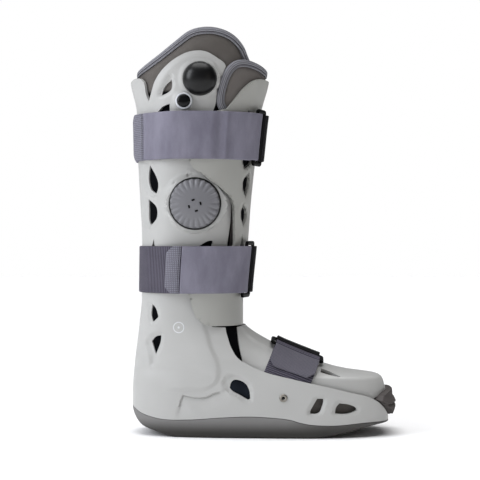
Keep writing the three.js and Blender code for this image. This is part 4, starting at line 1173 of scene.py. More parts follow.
def tape_mesh(form, line, width, thick, middle_depth):
    """A tape folded over a pad's edge, with a round back and its two legs sewn down.

    The line is the edge in the side view. The tape runs along it on the near side and back on the far."""
    path, outs = [], []
    for side, ring in ((-1, line), (1, line[::-1])):
        ring = ring[(ring[:, 0] > leg_rear) & (ring[:, 0] < leg_fore)]
        u = form.u_at(ring[:, 0], ring[:, 1])
        keep = (u > 1e-4) & (u < 1 - 1e-4)
        first, last = np.nonzero(keep)[0][[0, -1]]
        chosen = slice(max(first - 1, 0), last + 2)
        u, z = u[chosen], ring[chosen, 1]
        path.append(form.point(u, z, side) - form.normal(u, z, side) * middle_depth)
        outs.append(form.normal(u, z, side))
    path, outs = np.concatenate(path), np.concatenate(outs)
    keep = np.concatenate([[True], np.linalg.norm(np.diff(path, axis=0), axis=1) > least_step])
    path, outs = path[keep], outs[keep]
    closed = np.linalg.norm(path[0] - path[-1]) < joining_gap
    lengths = np.concatenate([[0], np.cumsum(np.linalg.norm(np.diff(path, axis=0), axis=1))])
    count = round(lengths[-1] / tape_step)
    at = np.linspace(0, lengths[-1], count)
    path = np.stack([np.interp(at, lengths, path[:, k]) for k in range(3)], axis=1)
    outs = np.stack([np.interp(at, lengths, outs[:, k]) for k in range(3)], axis=1)
    for _ in range(3):
        inner = (path[:-2] + 2 * path[1:-1] + path[2:]) / 4
        path = np.concatenate([path[:1], inner, path[-1:]])
    run = np.gradient(path, axis=0)
    run /= np.linalg.norm(run, axis=1)[:, None]
    outs -= run * np.sum(outs * run, axis=1)[:, None]
    outs /= np.linalg.norm(outs, axis=1)[:, None]
    down = np.cross(run, outs)
    half = thick / 2
    profile = [
        (half - 0.9, width), (half - 0.15, width - 0.5), (half - 0.1, width - 1.7), (half - 0.9, width - 2.3),
        (half - 0.05, width - 2.9), (half, width * 0.5), (half * 0.98, width * 0.35),
    ]
    arc = [(half * math.cos(a), half * (1 - math.sin(a)) * 0.8)
           for a in np.linspace(0.2, math.pi - 0.2, 9)]
    profile = profile + arc + [(-n, d) for n, d in reversed(profile)]
    count, size = len(path), len(profile)
    points = np.stack([path + outs * n + down * d for n, d in profile], axis=1).reshape(-1, 3)
    faces = swept_faces(count, size, closed)
    if not closed:
        faces += end_faces(count, size)
    round_way = np.concatenate([[0], np.cumsum([
        math.dist(profile[k], profile[k + 1]) for k in range(size - 1)])])
    uv = np.stack([np.repeat(at, size), np.tile(round_way, count)], axis=1)
    return settled(plain_mesh(points, faces, uv))


def ribbed_cloth(name, light, dark, pitch, across=False, relief=0.3, fuzz=0.4, seam=None):
    """Woven tape: ribs of one pitch across its length, broken up by threads 0.9 mm apart, so that the
    eye sees a dense weave. A seam, so far from its edge, pulls it in and lies in shade."""
    material, tree, shader = surface(name, light, 0.88, 1.45, Sheen_Weight=0.06, Specular_IOR_Level=0.25)
    cloth = surface_place(tree)
    place = object_place(tree)
    along, beside_it = ("Y", "X") if across else ("X", "Y")
    ribs = waves(tree, cloth[along], pitch)
    threads = waves(tree, cloth[beside_it], 0.9)
    fibres = noise(tree, place, fuzz, 3.0, 0.7)
    height = calc(tree, "ADD", calc(tree, "MULTIPLY", ribs, 0.5),
                  calc(tree, "ADD", calc(tree, "MULTIPLY", threads, 0.12), fibres))
    tone = weighed(tree, ramp(tree, height, 0.0, 1.0), 0.7, noise(tree, place, 18.0, 2.0), 0.3)
    colour = colour_mix(tree, tone, dark, light)
    if seam:
        away = calc(tree, "ABSOLUTE", calc(tree, "SUBTRACT", cloth["Y"], seam * mm))
        shade = ramp(tree, away, 0.35 * mm, 0.95 * mm)
        dip = add_node(tree, "ShaderNodeMix", {"Factor": shade, "B": colour}, data_type="RGBA")
        dip.inputs["A"].default_value = linear("2a292c")
        colour = dip.outputs["Result"]
    tree.links.new(colour, shader.inputs["Base Color"])
    bump(tree, shader, height, relief, 0.9)
    return material


binding_tape = ribbed_cloth("woven_binding_tape", "9a9aa0", "55555b", 2.0, across=True, relief=0.5, seam=3.2)
tape_rise = 0.7
calf_tape = add_object("calf_edge_tape", tape_mesh(
    calf_form, liner_edge, tape_width, calf_pad + 2 * tape_rise, calf_pad / 2,
))
finished(calf_tape, binding_tape, "binding_tape", "boot", "calf_liner_binding")

# Shin liner
# A padded tongue of the same knit, held inside the front shell. Its top edge is bound with the same
# tape and stands up beyond the shell.
shin_level = front_level - shell_wall - clearance - tape_rise
shin_pad_thickness = 5.8
shin_depth = shin_level - max(shin_level - shin_pad_thickness, heel_pad_level + clearance + tape_rise)
shin_swell, shin_swell_reach, shin_pinch, shin_inner_pinch, shin_pinch_reach = 0.5, 18, 1.2, 2.0, 6
flap_edge = sized([
    (0.104, 0.899), (0.086, 0.926), (0.087, 0.948), (0.102, 0.992), (0.123, 1.025), (0.157, 1.047),
    (0.199, 1.052), (0.241, 1.046), (0.284, 1.034), (0.34, 1.026),
])
flap_hidden_edge = sized([
    (0.34, 0.33), (0.13, 0.33), (0.131, 0.4), (0.14, 0.5), (0.146, 0.577), (0.151, 0.62),
    (0.152, 0.66), (0.142, 0.7), (0.117, 0.74), (0.088, 0.8), (0.08, 0.85), (0.088, 0.885),
])
flap_line = curved(flap_edge)
flap_seam = beside(flap_line, -(tape_width - tape_hem))
shin_form = Form(shin_level, leg_only=True)


def shin_relief(view, side):
    return swollen(distance(view, flap_seam), shin_swell, shin_swell_reach, shin_pinch, shin_pinch_reach)


def shin_pad(view, side):
    away = distance(view, flap_seam)
    return shin_depth + swollen(away, shin_swell, shin_swell_reach, shin_inner_pinch, shin_pinch_reach)


shin_liner = add_object("shin_tongue", shell_mesh(
    shin_form, np.concatenate([flap_seam, flap_hidden_edge]), spacing=4.0, rim=2.5,
    relief=shin_relief, inner=shin_pad,
))
# A shade lighter than the bootie's knit, as it catches the light above the shell. Lower down, behind the
# shell's slots, it has the dark film, painted near black as the shade in the slots.
tongue_cloth = knit_cloth("brushed_knit_on_tongue", "7d7976", "5a5552", cell_shade_top=0.318)
finished(shin_liner, tongue_cloth, "liner_cloth", "boot", "shin_liner")
shin_tape = add_object("shin_edge_tape", tape_mesh(
    shin_form, flap_line, tape_width, shin_depth + 2 * tape_rise, shin_depth / 2,
))
finished(shin_tape, binding_tape, "binding_tape", "boot", "shin_liner_binding")

# Toe pad
# The bootie's front end, of the same knit on foam, is rolled over and sewn down. It fills the gap
# between the tray and the instep shell.
toe_bulge, toe_flatness = 7.2, 0.9
toe_middle, toe_half = 0.096 * shell_height, 0.05 * shell_height
toe_mouth = sized([
    (0.704, 0.1015), (0.717, 0.092), (0.733, 0.079), (0.744, 0.064), (0.757, 0.0485), (0.82, 0.044),
    (0.82, 0.1245), (0.741, 0.1235), (0.723, 0.116),
])
toe_seam_height, toe_seam_width, toe_seam_depth = 34.0, 1.1, 3.0
toe_fold_height, toe_fold_width, toe_fold_depth = 42.5, 1.6, 1.0
toe_upper, toe_upper_loss, toe_lap = (33, 46), 0.7, 1.5


def toe_relief(view, side):
    """A round roll, flatter above its seam, with a fold over it."""
    height = view[:, 1]
    share = np.clip((height - toe_middle) / toe_half, -1, 1)
    crease = np.exp(-((height - toe_seam_height) / toe_seam_width) ** 2)
    fold = np.exp(-((height - toe_fold_height) / toe_fold_width) ** 2)
    bulge = toe_bulge * np.sqrt(1 - toe_flatness * share ** 2)
    bulge = bulge * (1 - toe_upper_loss * eased(height, *toe_upper))
    return bulge - toe_seam_depth * crease - toe_fold_depth * fold


toe_pad = add_object("toe_roll", shell_mesh(
    shell_form, curved(toe_mouth, closed=True), spacing=2.2, rim=1.6, relief=toe_relief,
    inner=lambda view, side: toe_relief(view, side) - instep_pad_level - toe_lap,
))
# The same knit, darker than the bootie's.
toe_cloth = knit_cloth("brushed_knit_on_toe_roll", "64605f", "423e3d")
finished(toe_pad, toe_cloth, "liner_cloth", "boot", "toe_pad")
round_rims(toe_pad, 1.4, segments=3)

# Pump bulb
# A moulded black rubber dome, hollow and open to the ear, that is squeezed to fill the air cells. Its
# flange is glued to a flat seat on the ear.
bulb_height, bulb_wall = 13.5, 2.4
bulb_base = 0.12


def turned_mesh(profile, steps, centre, seat):
    """A profile of radius and height turned round an axis that points out of the near side."""
    angles = np.linspace(0, 2 * math.pi, steps, endpoint=False)
    points = np.concatenate([
        np.column_stack([
            centre[0] + r * np.cos(angles), np.full(steps, -seat - h), centre[1] + r * np.sin(angles),
        ])
        for r, h in profile
    ])
    mesh = plain_mesh(points, swept_faces(len(profile), steps), points[:, [0, 2]])
    return settled(mesh, weld=0.005)


bulb_profile = [
    (0, bulb_height - bulb_wall), (bulb_radius - bulb_wall - 1, 3), (bulb_radius - bulb_wall, 0),
    (bulb_radius, 0), (bulb_radius + 0.1, 0.8), (bulb_radius - 0.1, 1.5), (bulb_radius - 0.5, 2.0),
]
bulb_profile += [
    ((bulb_radius - 0.4) * math.cos(a), bulb_height * (bulb_base + (1 - bulb_base) * math.sin(a)))
    for a in np.radians([6, 12, 20, 30, 40, 50, 60, 70, 78, 84, 88])
]
bulb_profile.append((0, bulb_height))

# Moulded rubber: near black, with a soft wide highlight and a bloom of fine dust.
bulb_rubber, tree, shader = surface("moulded_black_rubber", "050506", 0.3, 1.52, Specular_IOR_Level=0.28)
place = object_place(tree)
two_tone(tree, shader, ramp(tree, noise(tree, place, 5.0, 6.0, 0.65), 0.5, 0.85), "050506", "0d0d0f")
bump(tree, shader, noise(tree, place, 0.5, 2.0), 0.03)
bulb_seat = seats[0][2] + clearance
bulb = add_object("squeeze_bulb", turned_mesh(bulb_profile, 96, bulb_centre, bulb_seat))
finished(bulb, bulb_rubber, "bulb_rubber", "boot", "pump_bulb")

# Release valve
# A light acetal ring, pressed into a seat beside the bulb, round a glossy black button. A finger
# presses the button in to let the air out.
valve_depth, valve_bore, valve_travel = 6.0, 7.0, 2.0
button_rise, button_dome = 0.2, 2.1
valve_seat = seats[1][2] + clearance
ring_profile = [
    (valve_bore, 0), (valve_radius, 0), (valve_radius, valve_depth - 2.6),
    (valve_radius - 0.25, valve_depth - 1.2), (valve_radius - 0.6, valve_depth - 0.35),
    (valve_radius - 1.0, valve_depth), (valve_bore + 0.3, valve_depth),
    (valve_bore + 0.05, valve_depth - 0.15), (valve_bore, valve_depth - 0.4), (valve_bore, 0),
]
# White acetal: smoother than the shell, so that it catches a small bright edge.
valve_plastic = moulded_plastic("moulded_white_acetal", "ccced2", "c0c2c7", 0.35)
valve_ring = add_object("valve_collar", turned_mesh(ring_profile, 72, valve_centre, valve_seat))
finished(valve_ring, valve_plastic, "valve_plastic", "boot", "valve_ring")
button_radius = valve_bore - clearance
button_base, button_edge = valve_travel + clearance, valve_depth + button_rise
button_profile = [(0, button_base), (button_radius, button_base), (button_radius, button_edge)]
button_profile += [
    (button_radius * math.cos(a) ** 0.8, button_edge + button_dome * math.sin(a))
    for a in np.radians([12, 24, 36, 48, 60, 72, 82])
]
button_profile.append((0, button_edge + button_dome))

# Polished acetal: black with a small sharp highlight, broken by faint finger smears.
button_plastic, tree, shader = surface("polished_black_acetal", "030304", 0.12, 1.49, Specular_IOR_Level=0.22)
place = object_place(tree)
uneven_gloss(tree, shader, noise(tree, place, 2.5, 5.0), 0.07, 0.2)
two_tone(tree, shader, noise(tree, place, 3.0), "020203", "060607")
button = add_object("valve_plunger", turned_mesh(button_profile, 64, valve_centre, valve_seat))
finished(button, button_plastic, "button_plastic", "valve", "valve_button")

# Selector dial
# A grey moulded nylon knob with grip flutes and four dark marks, on a black rubber gasket. Its spindle
# goes through the shell, and it turns to choose an air cell.
gasket_thickness, dial_thickness, spindle_radius, flute_count = 2.2, 9.0, 7.0, 24
dial_dome, face_radius, face_drop = 0.0055, 24, 0.95
flute_depth, face_flute_depth, face_flutes = 1.0, 0.8, (14.5, 23)
dial_seat = seats[2][2] + clearance
gasket_bore = spindle_radius + clearance
gasket_profile = [
    (gasket_bore, 0), (gasket_radius, 0), (gasket_radius + 0.1, 0.8), (gasket_radius - 0.1, 1.6),
    (gasket_radius - 0.6, gasket_thickness), (gasket_bore, gasket_thickness), (gasket_bore, 0),
]
gasket = add_object("dial_seal", turned_mesh(gasket_profile, 96, dial_centre, dial_seat))
finished(gasket, bulb_rubber, "bulb_rubber", "boot", "dial_gasket")


def dial_mesh(steps_per_flute=12):
    """Rings from the spindle out over the rim to the middle of the face, scalloped by the flutes."""
    base, top = gasket_thickness + clearance, gasket_thickness + clearance + dial_thickness
    rows = [
        (spindle_radius, -shell_wall), (spindle_radius, base), (dial_radius - 1.2, base),
        (dial_radius, base + 0.6), (dial_radius, base + 2.5), (dial_radius, top - 3.6),
        (dial_radius - 0.15, top - 2.6), (dial_radius - 0.5, top - 1.9), (dial_radius - 1.1, top - 1.35),
        (dial_radius - 2.0, top - face_drop),
    ]
    rows += [
        (r, top - face_drop + dial_dome * (face_radius ** 2 - r ** 2))
        for r in (23, 22, 21, 20, 19, 18, 17, 16, 14, 11, 8, 4)
    ]
    steps = flute_count * steps_per_flute
    angles = np.linspace(0, 2 * math.pi, steps, endpoint=False)
    wave = (0.5 + 0.5 * np.cos(flute_count * angles)) ** 1.6
    points, faces = [np.array([[dial_centre[0], -dial_seat + shell_wall, dial_centre[1]]])], []
    for r, h in rows:
        on_rim = 1.0 if base + 1 < h < top - 2 else 0.0
        on_face = float(eased(np.array(r), *face_flutes)) if h > top - 2 else 0.0
        cut = wave * (flute_depth * on_rim + face_flute_depth * on_face * (r > dial_radius - 1.2))
        drop = wave * on_face * flute_depth
        points.append(np.column_stack([
            dial_centre[0] + (r - cut) * np.cos(angles), -dial_seat - (h - drop),
            dial_centre[1] + (r - cut) * np.sin(angles),
        ]))
    last = 1 + len(rows) * steps
    peak = top - face_drop + dial_dome * face_radius ** 2
    points.append(np.array([[dial_centre[0], -dial_seat - peak, dial_centre[1]]]))
    for i in range(steps):
        j = (i + 1) % steps
        faces.append((0, 1 + j, 1 + i))
        faces.append((last, last - steps + i, last - steps + j))
        for k in range(len(rows) - 1):
            a, b = 1 + k * steps + i, 1 + k * steps + j
            faces.append((a, b, b + steps, a + steps))
    points = np.concatenate(points)
    return settled(plain_mesh(points, faces, points[:, [0, 2]]))


# Glass-filled nylon: darker than the shell and a little glossier on the worn grip.
dial_plastic = moulded_plastic("moulded_dark_grey_nylon", "727276", "66666a", 0.38)
dial = add_object("dial_grip", dial_mesh())
finished(dial, dial_plastic, "dial_plastic", "dial", "dial_knob")

slot_places = [(193.2, 200), (200.6, 203.5), (196.5, 210.9), (189.2, 206.8)]
slot_size, slot_edge = (3.5, 1.0, 1.9), 0.35
slot_mesh = bmesh.new()
slot_ring = seen(slot_places, -dial_seat - dial_thickness)
for slot in slot_ring:
    away = slot - slot_ring.mean(axis=0)
    reach = np.linalg.norm(slot - np.array(dial_centre))
    rise = gasket_thickness + clearance + dial_thickness - face_drop
    rise += dial_dome * (face_radius ** 2 - reach ** 2)
    turn = Matrix.Rotation(-math.atan2(away[1], away[0]) + math.pi / 2, 4, "Y")
    place = Matrix.Translation(Vector((slot[0], -dial_seat - rise, slot[1])) * mm)
    size = Matrix.Diagonal((*[length * mm for length in slot_size], 1))
    bmesh.ops.create_cube(slot_mesh, size=1.0, matrix=place @ turn @ size)
bmesh.ops.bevel(slot_mesh, geom=slot_mesh.edges, offset=slot_edge * mm, segments=2, affect="EDGES")
slot_data = bpy.data.meshes.new("dial_marks")
slot_mesh.to_mesh(slot_data)
slot_mesh.free()
dial_marks = add_object("dial_marks", slot_data)
finished(dial_marks, button_plastic, "button_plastic", "dial")

# Leg straps
# Each is a band of brushed pile over webbing. It goes round the leg, through a ring and back over
# itself to a hook tab, and ribbed webbing holds the ring from the far side.
# The form's ends are looked up in tables here, as the straps ask for many places at many levels.
height_step, height_margin = 0.5, 12
level_steps = np.arange(-8.0, 17.0)
end_heights = np.arange(form_heights[0] + height_margin, form_heights[-1] - height_margin, height_step)
end_tables = {
    end: np.array([end_line(end, level, end_heights) for level in level_steps]) for end in ("front", "back")
}


def end_at(end, z, level):
    """Where the form ends at the back or front, looked up by height and level."""
    row = np.clip(level - level_steps[0], 0, len(level_steps) - 1.001)
    column = np.clip((z - end_heights[0]) / height_step, 0, len(end_heights) - 1.001)
    i, j = row.astype(int), column.astype(int)
    a, b, table = row - i, column - j, end_tables[end]
    low = table[i, j] * (1 - a) + table[i + 1, j] * a
    high = table[i, j + 1] * (1 - a) + table[i + 1, j + 1] * a
    return low * (1 - b) + high * b


def leg_point(z, turn, level):
    """A place round the leg: the turn is 0 at the front and negative on the near side."""
    z, turn, level = np.broadcast_arrays(z, turn, np.asarray(level, float))
    front = end_at("front", z, level)
    front = np.where(z < leg_start, np.minimum(front, leg_front + level), front)
    x, y = round_plan(z, turn, front, end_at("back", z, level), level)
    return np.stack([x, y, z], axis=-1)


# Lengths in millimetres, but from ring_turn to strip_gap angles round the leg in radians.
strap_width, pile_thickness, tab_thickness = 50.0, 2.4, 2.2
ring_bar, ring_pitch, fold_slack, ring_margin = 3.4, 16.0, 1.2, 1
leg_radius, tab_gap, tab_lift, tab_chamfer = 60.0, 0.6, 0.1, 7.0
ring_turn, pile_run_out, web_run_in, web_lap, web_end = -0.5, 0.7, 0.5, 0.3, 0.45
far_end, strip_gap = 2.45, 0.01
bar_round = ring_bar / 2 + fold_slack
pile_fold, web_fold = bar_round + pile_thickness / 2, bar_round + webbing_thickness / 2
band_over_front = (-0.16 * boot_length, -0.062 * boot_length)


def strap_frame(path, row, turn, level):
    """Places on a strap, with the ways out of and along it."""
    place = path(row, turn, level)
    out = path(row, turn, level + 1) - place
    along = path(row, turn + 0.01, level) - path(row, turn - 0.01, level)
    along /= np.linalg.norm(along, axis=-1, keepdims=True)
    out -= along * np.sum(out * along, axis=-1, keepdims=True)
    return place, out / np.linalg.norm(out, axis=-1, keepdims=True), along


def lying(turns, level_of, face=1):
    """Stations of a strap that lies on the form: turn, level, fold radius, fold angle, way and face."""
    return [(t, level_of(t), 0.0, 0.0, 1, face) for t in turns]


def folded(turn, level, radius, towards, steps=12):
    """Stations that go round a bar from the strip's inner side to its outer side."""
    angles = [-math.pi / 2 + i / steps * math.pi for i in range(steps + 1)]
    return [(turn, level, radius, angle, towards, 1) for angle in angles]


# A band's natural wave: its lengths along and across the cloth, and the ends that it stays clear of.
wave_along, wave_across, wave_swell, wave_clear = 17, 21, 31, (4, 20)


def band_mesh(path, stations, thickness, width=strap_width, chamfer=0.0, wave=0.35, edge_round=0.9,
              creases=()):
    """A strip of cloth through its stations, with rounded edges and ends and a slight natural wave.

    The chamfer takes the corners off its last end. Each crease is a turn, how far the outer layer
    stands out there, and its reach."""
    columns = [np.array(column, float)[:, None] for column in zip(*stations)]
    turn, level, radius, angle, towards, face = columns
    middle, out, along = strap_frame(path, np.zeros((len(turn), 1)), turn, level)
    centre = (middle + radius[..., None] * (
        out * np.sin(angle)[..., None] + along * (np.cos(angle) * towards)[..., None]))[:, 0]
    run = np.concatenate([[0], np.cumsum(np.linalg.norm(np.diff(centre, axis=0), axis=1))])
    half, total = thickness / 2, run[-1]
    from_end = np.minimum(run, total - run)
    thin = np.sqrt(np.clip(1 - (1 - np.clip((from_end + 0.12) / half, 0, 1)) ** 2, 0.02, 1))
    cut = np.clip(chamfer - (total - run), 0, None)
    low, high = -width / 2 + cut, width / 2 - cut
    bend = half * edge_round
    flats = np.linspace(0, 1, 19)
    rounds = np.linspace(-math.pi / 2, math.pi / 2, 7)[1:-1]
    profile = [(share, 0.0, 1.0) for share in flats]
    profile += [(1.0, math.cos(a), -math.sin(a)) for a in rounds]
    profile += [(share, 0.0, -1.0) for share in flats[::-1]]
    profile += [(0.0, -math.cos(a), math.sin(a)) for a in rounds]
    share, aside, rise = (np.array(column)[None] for column in zip(*profile))
    across = (low[:, None] + bend) * (1 - share) + (high[:, None] - bend) * share + aside * bend
    place, out, along = strap_frame(path, across / width, turn, level)
    fold_out = out * np.sin(angle)[..., None] + along * (np.cos(angle) * towards)[..., None]
    bent = (radius > 0)[..., None]
    direction = np.where(bent, fold_out, out * face[..., None])
    place = place + np.where(bent, direction * radius[..., None], 0)
    ripple = wave * np.sin(run[:, None] / wave_along + across / wave_across)
    ripple = ripple * np.sin(run[:, None] / wave_swell + 1.3)
    offset = rise * half * thin[:, None] + ripple * eased(from_end, *wave_clear)[:, None] * (radius < 0.1)
    for crease_turn, rise_mm, reach in creases:
        swell = rise_mm * np.exp(-((turn - crease_turn) / reach) ** 2)
        offset = offset + (angle == 0) * (face > 0) * swell
    points = place + direction * offset[..., None]
    count, size = points.shape[:2]
    faces = swept_faces(count, size) + end_faces(count, size)
    uv = np.stack([np.broadcast_to(run[:, None], (count, size)), across], axis=-1)
    return settled(plain_mesh(points.reshape(-1, 3), faces, uv.reshape(-1, 2)))


def turns_between(start, end, radius=leg_radius, step=2.5):
    """Turns with a station every few millimetres, closer at the two ends."""
    count = max(4, round(abs(end - start) * radius / step))
    share = np.linspace(0, 1, count + 1)
    fine = np.array([0.15, 0.4, 0.8]) / (abs(end - start) * radius)
    share = np.unique(np.concatenate([share, fine, 1 - fine]))
    return start + (end - start) * share


def hook_cloth(name, light, dark, pitch=2.0):
    """Moulded hook tape: rows of tiny hooks that show as fine ribs with dots along them.

    The hooks are drawn farther apart than they are, so that they show."""
    material, tree, shader = surface(name, light, 0.6, 1.5)
    cloth = surface_place(tree)
    place = object_place(tree)
    hooks = calc(tree, "MINIMUM", waves(tree, cloth["Y"], pitch), waves(tree, cloth["X"], pitch))
    height = calc(tree, "ADD", hooks, noise(tree, place, 0.6, 3.0))
    tone = weighed(tree, ramp(tree, height, -0.8, 0.7), 0.8, noise(tree, place, 14.0), 0.2)
    two_tone(tree, shader, tone, dark, light)
    bump(tree, shader, height, 0.3, 0.9)
    return material


def pile_cloth(name, light, dark):
    """Brushed loop pile: very fine soft fibres with faint strokes across the band and a pale edge light."""
    material, tree, shader = surface(name, light, 0.95, 1.4, Sheen_Weight=0.08, Specular_IOR_Level=0.15)
    place = object_place(tree)
    strokes = noise(tree, place, 16.0, 5.0, 0.6, stretch=(1.0, 1.0, 0.35))
    fibres = noise(tree, place, 0.5, 4.0, 0.75)
    tone = weighed(tree, strokes, 0.6, fibres, 0.4)
    two_tone(tree, shader, ramp(tree, tone, 0.3, 0.7), dark, light)
    bump(tree, shader, fibres, 0.22, 0.8)
    return material


def cloth_strip(item, held, *rests_on):
    """Reads the surface coordinates of a strip, which hold the width and length it was cut to."""
    layer = item.data.uv_layers["surface"].data
    places = np.zeros(len(layer) * 2, np.float32)
    layer.foreach_get("uv", places)


strap_pile = pile_cloth("brushed_loop_pile", "807e8b", "696774")
hook_tape = hook_cloth("moulded_hook_tape", "888794", "3e3d48")
strap_webbing = ribbed_cloth("ribbed_nylon_webbing", "6a6675", "27252d", 2.3, relief=0.7)
ring_webbing = ribbed_cloth("ribbed_black_webbing", "1b1a1e", "0a0a0c", 1.9, relief=0.7)
# Black acetal with a fine texture: so little gloss that the rings read as a dark outline on the straps.
ring_plastic = moulded_plastic(
    "moulded_black_acetal_rings", "030303", "020202", 0.45, Specular_IOR_Level=0.06,
)


def ring_mesh(path, near_bar, far_bar, level, corner=1.8, steps=8):
    """A rectangular loop of bar: a rounded rectangle swept with a squarish circle, wider outward."""
    def place(row, turn):
        return path(np.array(row), np.array(turn), np.array(level, float))

    wide = place(0.0, far_bar) - place(0.0, near_bar)
    low = (place(-0.5, near_bar) + place(-0.5, far_bar)) / 2
    high = (place(0.5, near_bar) + place(0.5, far_bar)) / 2
    half_across = np.linalg.norm(wide) / 2
    across = wide / np.linalg.norm(wide)
    up = (high - low) / np.linalg.norm(high - low)
    out = np.cross(across, up)
    up = np.cross(out, across)
    half_tall = strap_width / 2 + ring_margin + ring_bar / 2
    line, ways = [], []
    for quarter in range(4):
        sign_x, sign_z = ((1, 1), (-1, 1), (-1, -1), (1, -1))[quarter]
        corner_place = np.array([sign_x * (half_across - corner), sign_z * (half_tall - corner)])
        for i in range(steps):
            a = (quarter + i / (steps - 1)) * math.pi / 2
            way = np.array([math.cos(a), math.sin(a)])
            line.append(corner_place + way * corner)
            ways.append(way)
    line, ways = np.array(line), np.array(ways)
    bar_step, bar_sides, squareness, outer_bulge = 4, 16, 4, 0.7
    spaced, spaced_ways = [], []
    for i in range(len(line)):
        a, b = line[i], line[(i + 1) % len(line)]
        parts = max(1, round(np.linalg.norm(b - a) / bar_step))
        for k in range(parts):
            spaced.append(a + (b - a) * k / parts)
            spaced_ways.append(ways[i] + (ways[(i + 1) % len(line)] - ways[i]) * k / parts)
    middle = (low + high) / 2
    points = []
    for (px, pz), (wx, wz) in zip(spaced, spaced_ways):
        centre = middle + across * px + up * pz
        way = across * wx + up * wz
        way /= np.linalg.norm(way)
        for k in range(bar_sides):
            a = 2 * math.pi * k / bar_sides
            c, d = math.cos(a), math.sin(a)
            reach = ring_bar / 2 / (abs(c) ** squareness + abs(d) ** squareness) ** (1 / squareness)
            points.append(centre + (way * (c + (outer_bulge if c > 0 else 0) * abs(c)) + out * d) * reach)
    points = np.array(points)
    faces = swept_faces(len(spaced), bar_sides, closed=True)
    return settled(plain_mesh(points, faces, points[:, [0, 2]]))


def leg_strap(name, height, near_bar, tab_start, tab_end, anchor, webbing_from=None, creases=()):
    """A pile band with its hook tab, the ring that it is folded round, and the ring's own webbing.

    The turns say where the ring's near bar is, where the tab starts and ends, and where the strip under
    the band is fixed. From webbing_from back to there that strip is ribbed webbing, and pile before."""
    def path(row, turn, level):
        return leg_point(height + np.asarray(row) * strap_width, turn, level)

    def under_level(turn):
        x = path(0.0, turn, 0.0)[0]
        share = float(eased(x, *band_over_front))
        return (1 - share) * 2 * clearance + share * (front_level + 2 * clearance)

    def rising(turn, low, high, start, end):
        share = float(eased(np.array((turn - start) / (end - start)), 0, 1))
        return low + (high - low) * share

    far_bar = near_bar + ring_pitch / path(0.0, near_bar, bar_round)[0]
    bar_level = under_level(near_bar) + pile_thickness / 2 + pile_fold

    def inner(turn):
        return under_level(turn) + pile_thickness / 2

    def outer(turn):
        return rising(turn, inner(turn) + pile_thickness + clearance, bar_level + pile_fold,
                      near_bar - pile_run_out, near_bar)

    outer_part = lying(turns_between(near_bar, tab_start, step=1.3)[1:], outer)
    fold = folded(near_bar, bar_level, pile_fold, 1)
    if webbing_from is None:
        inner_part = lying(turns_between(anchor, near_bar)[:-1], inner, -1)
    else:
        inner_part = lying(turns_between(webbing_from + strip_gap, near_bar)[:-1], inner, -1)
        base = add_object(name + "_base_webbing", band_mesh(
            path, lying(turns_between(anchor, webbing_from), inner), pile_thickness,
        ))
        finished(base, strap_webbing, "webbing", "boot")
        cloth_strip(base, "stretched", "base_shell")
    band = add_object(name + "_pile", band_mesh(
        path, inner_part + fold + outer_part, pile_thickness, creases=creases))
    finished(band, strap_pile, "pile_cloth", "boot", name)
    cloth_strip(band, "folded", "base_shell", "front_shell", name.replace("strap", "ring"))
    tab_turns = turns_between(tab_start - tab_gap / leg_radius, tab_end)
    tab = add_object(name + "_hook_tab", band_mesh(
        path, lying(tab_turns, lambda t: outer(t) + tab_lift),
        tab_thickness, chamfer=tab_chamfer))
    finished(tab, hook_tape, "hook_tape", "boot", name + "_tab")

    def web_inner(turn):
        return rising(turn, under_level(turn) + webbing_thickness / 2, bar_level - web_fold,
                      far_bar + web_run_in, far_bar)

    def web_outer(turn):
        return rising(turn, web_inner(turn) + webbing_thickness + clearance, bar_level + web_fold,
                      far_bar + web_lap, far_bar)

    stations = lying(turns_between(far_bar + web_end, far_bar)[:-1], web_outer)
    stations += folded(far_bar, bar_level, web_fold, -1)[::-1]
    stations += lying(turns_between(far_bar, far_end)[1:], web_inner, -1)
    webbing = add_object(name + "_ring_webbing", band_mesh(
        path, stations, webbing_thickness))
    finished(webbing, ring_webbing, "webbing", "boot", name + "_webbing")
    cloth_strip(webbing, "folded", "base_shell", "front_shell", name.replace("strap", "ring"))
    ring = add_object(name + "_loop", ring_mesh(path, near_bar, far_bar, bar_level))
    finished(ring, ring_plastic, "ring_plastic", "boot", name.replace("strap", "ring"))
    return path, outer


top_strap = leg_strap(
    "strap_top", 0.8377 * shell_height, ring_turn, tab_start=-2.46, tab_end=-2.9, anchor=-3.75,
    creases=((-1.1, 1.1, 0.03), (-1.2, -1.2, 0.05), (-1.32, 0.4, 0.04), (-0.8, 0.4, 0.1)),
)
middle_strap = leg_strap(
    "strap_middle", 0.4673 * shell_height, ring_turn, tab_start=-1.66, tab_end=-1.91, anchor=-3.75,
    webbing_from=-1.3, creases=((-0.9, 0.4, 0.12),),
)

# Foot strap
# Ribbed webbing comes up from between tray and instep shell, through a third ring and back to a hook
# tab. Its plane leans back with the instep.
foot_reach, foot_tilt, foot_setback, halvings = 110.0, math.radians(24.6), 24.0, 26
foot_hub = np.array([foot_reach - foot_setback, 0.0, 0.098 * shell_height])
foot_down = np.array([math.cos(foot_tilt), 0, -math.sin(foot_tilt)])
foot_up = np.array([math.sin(foot_tilt), 0, math.cos(foot_tilt)])


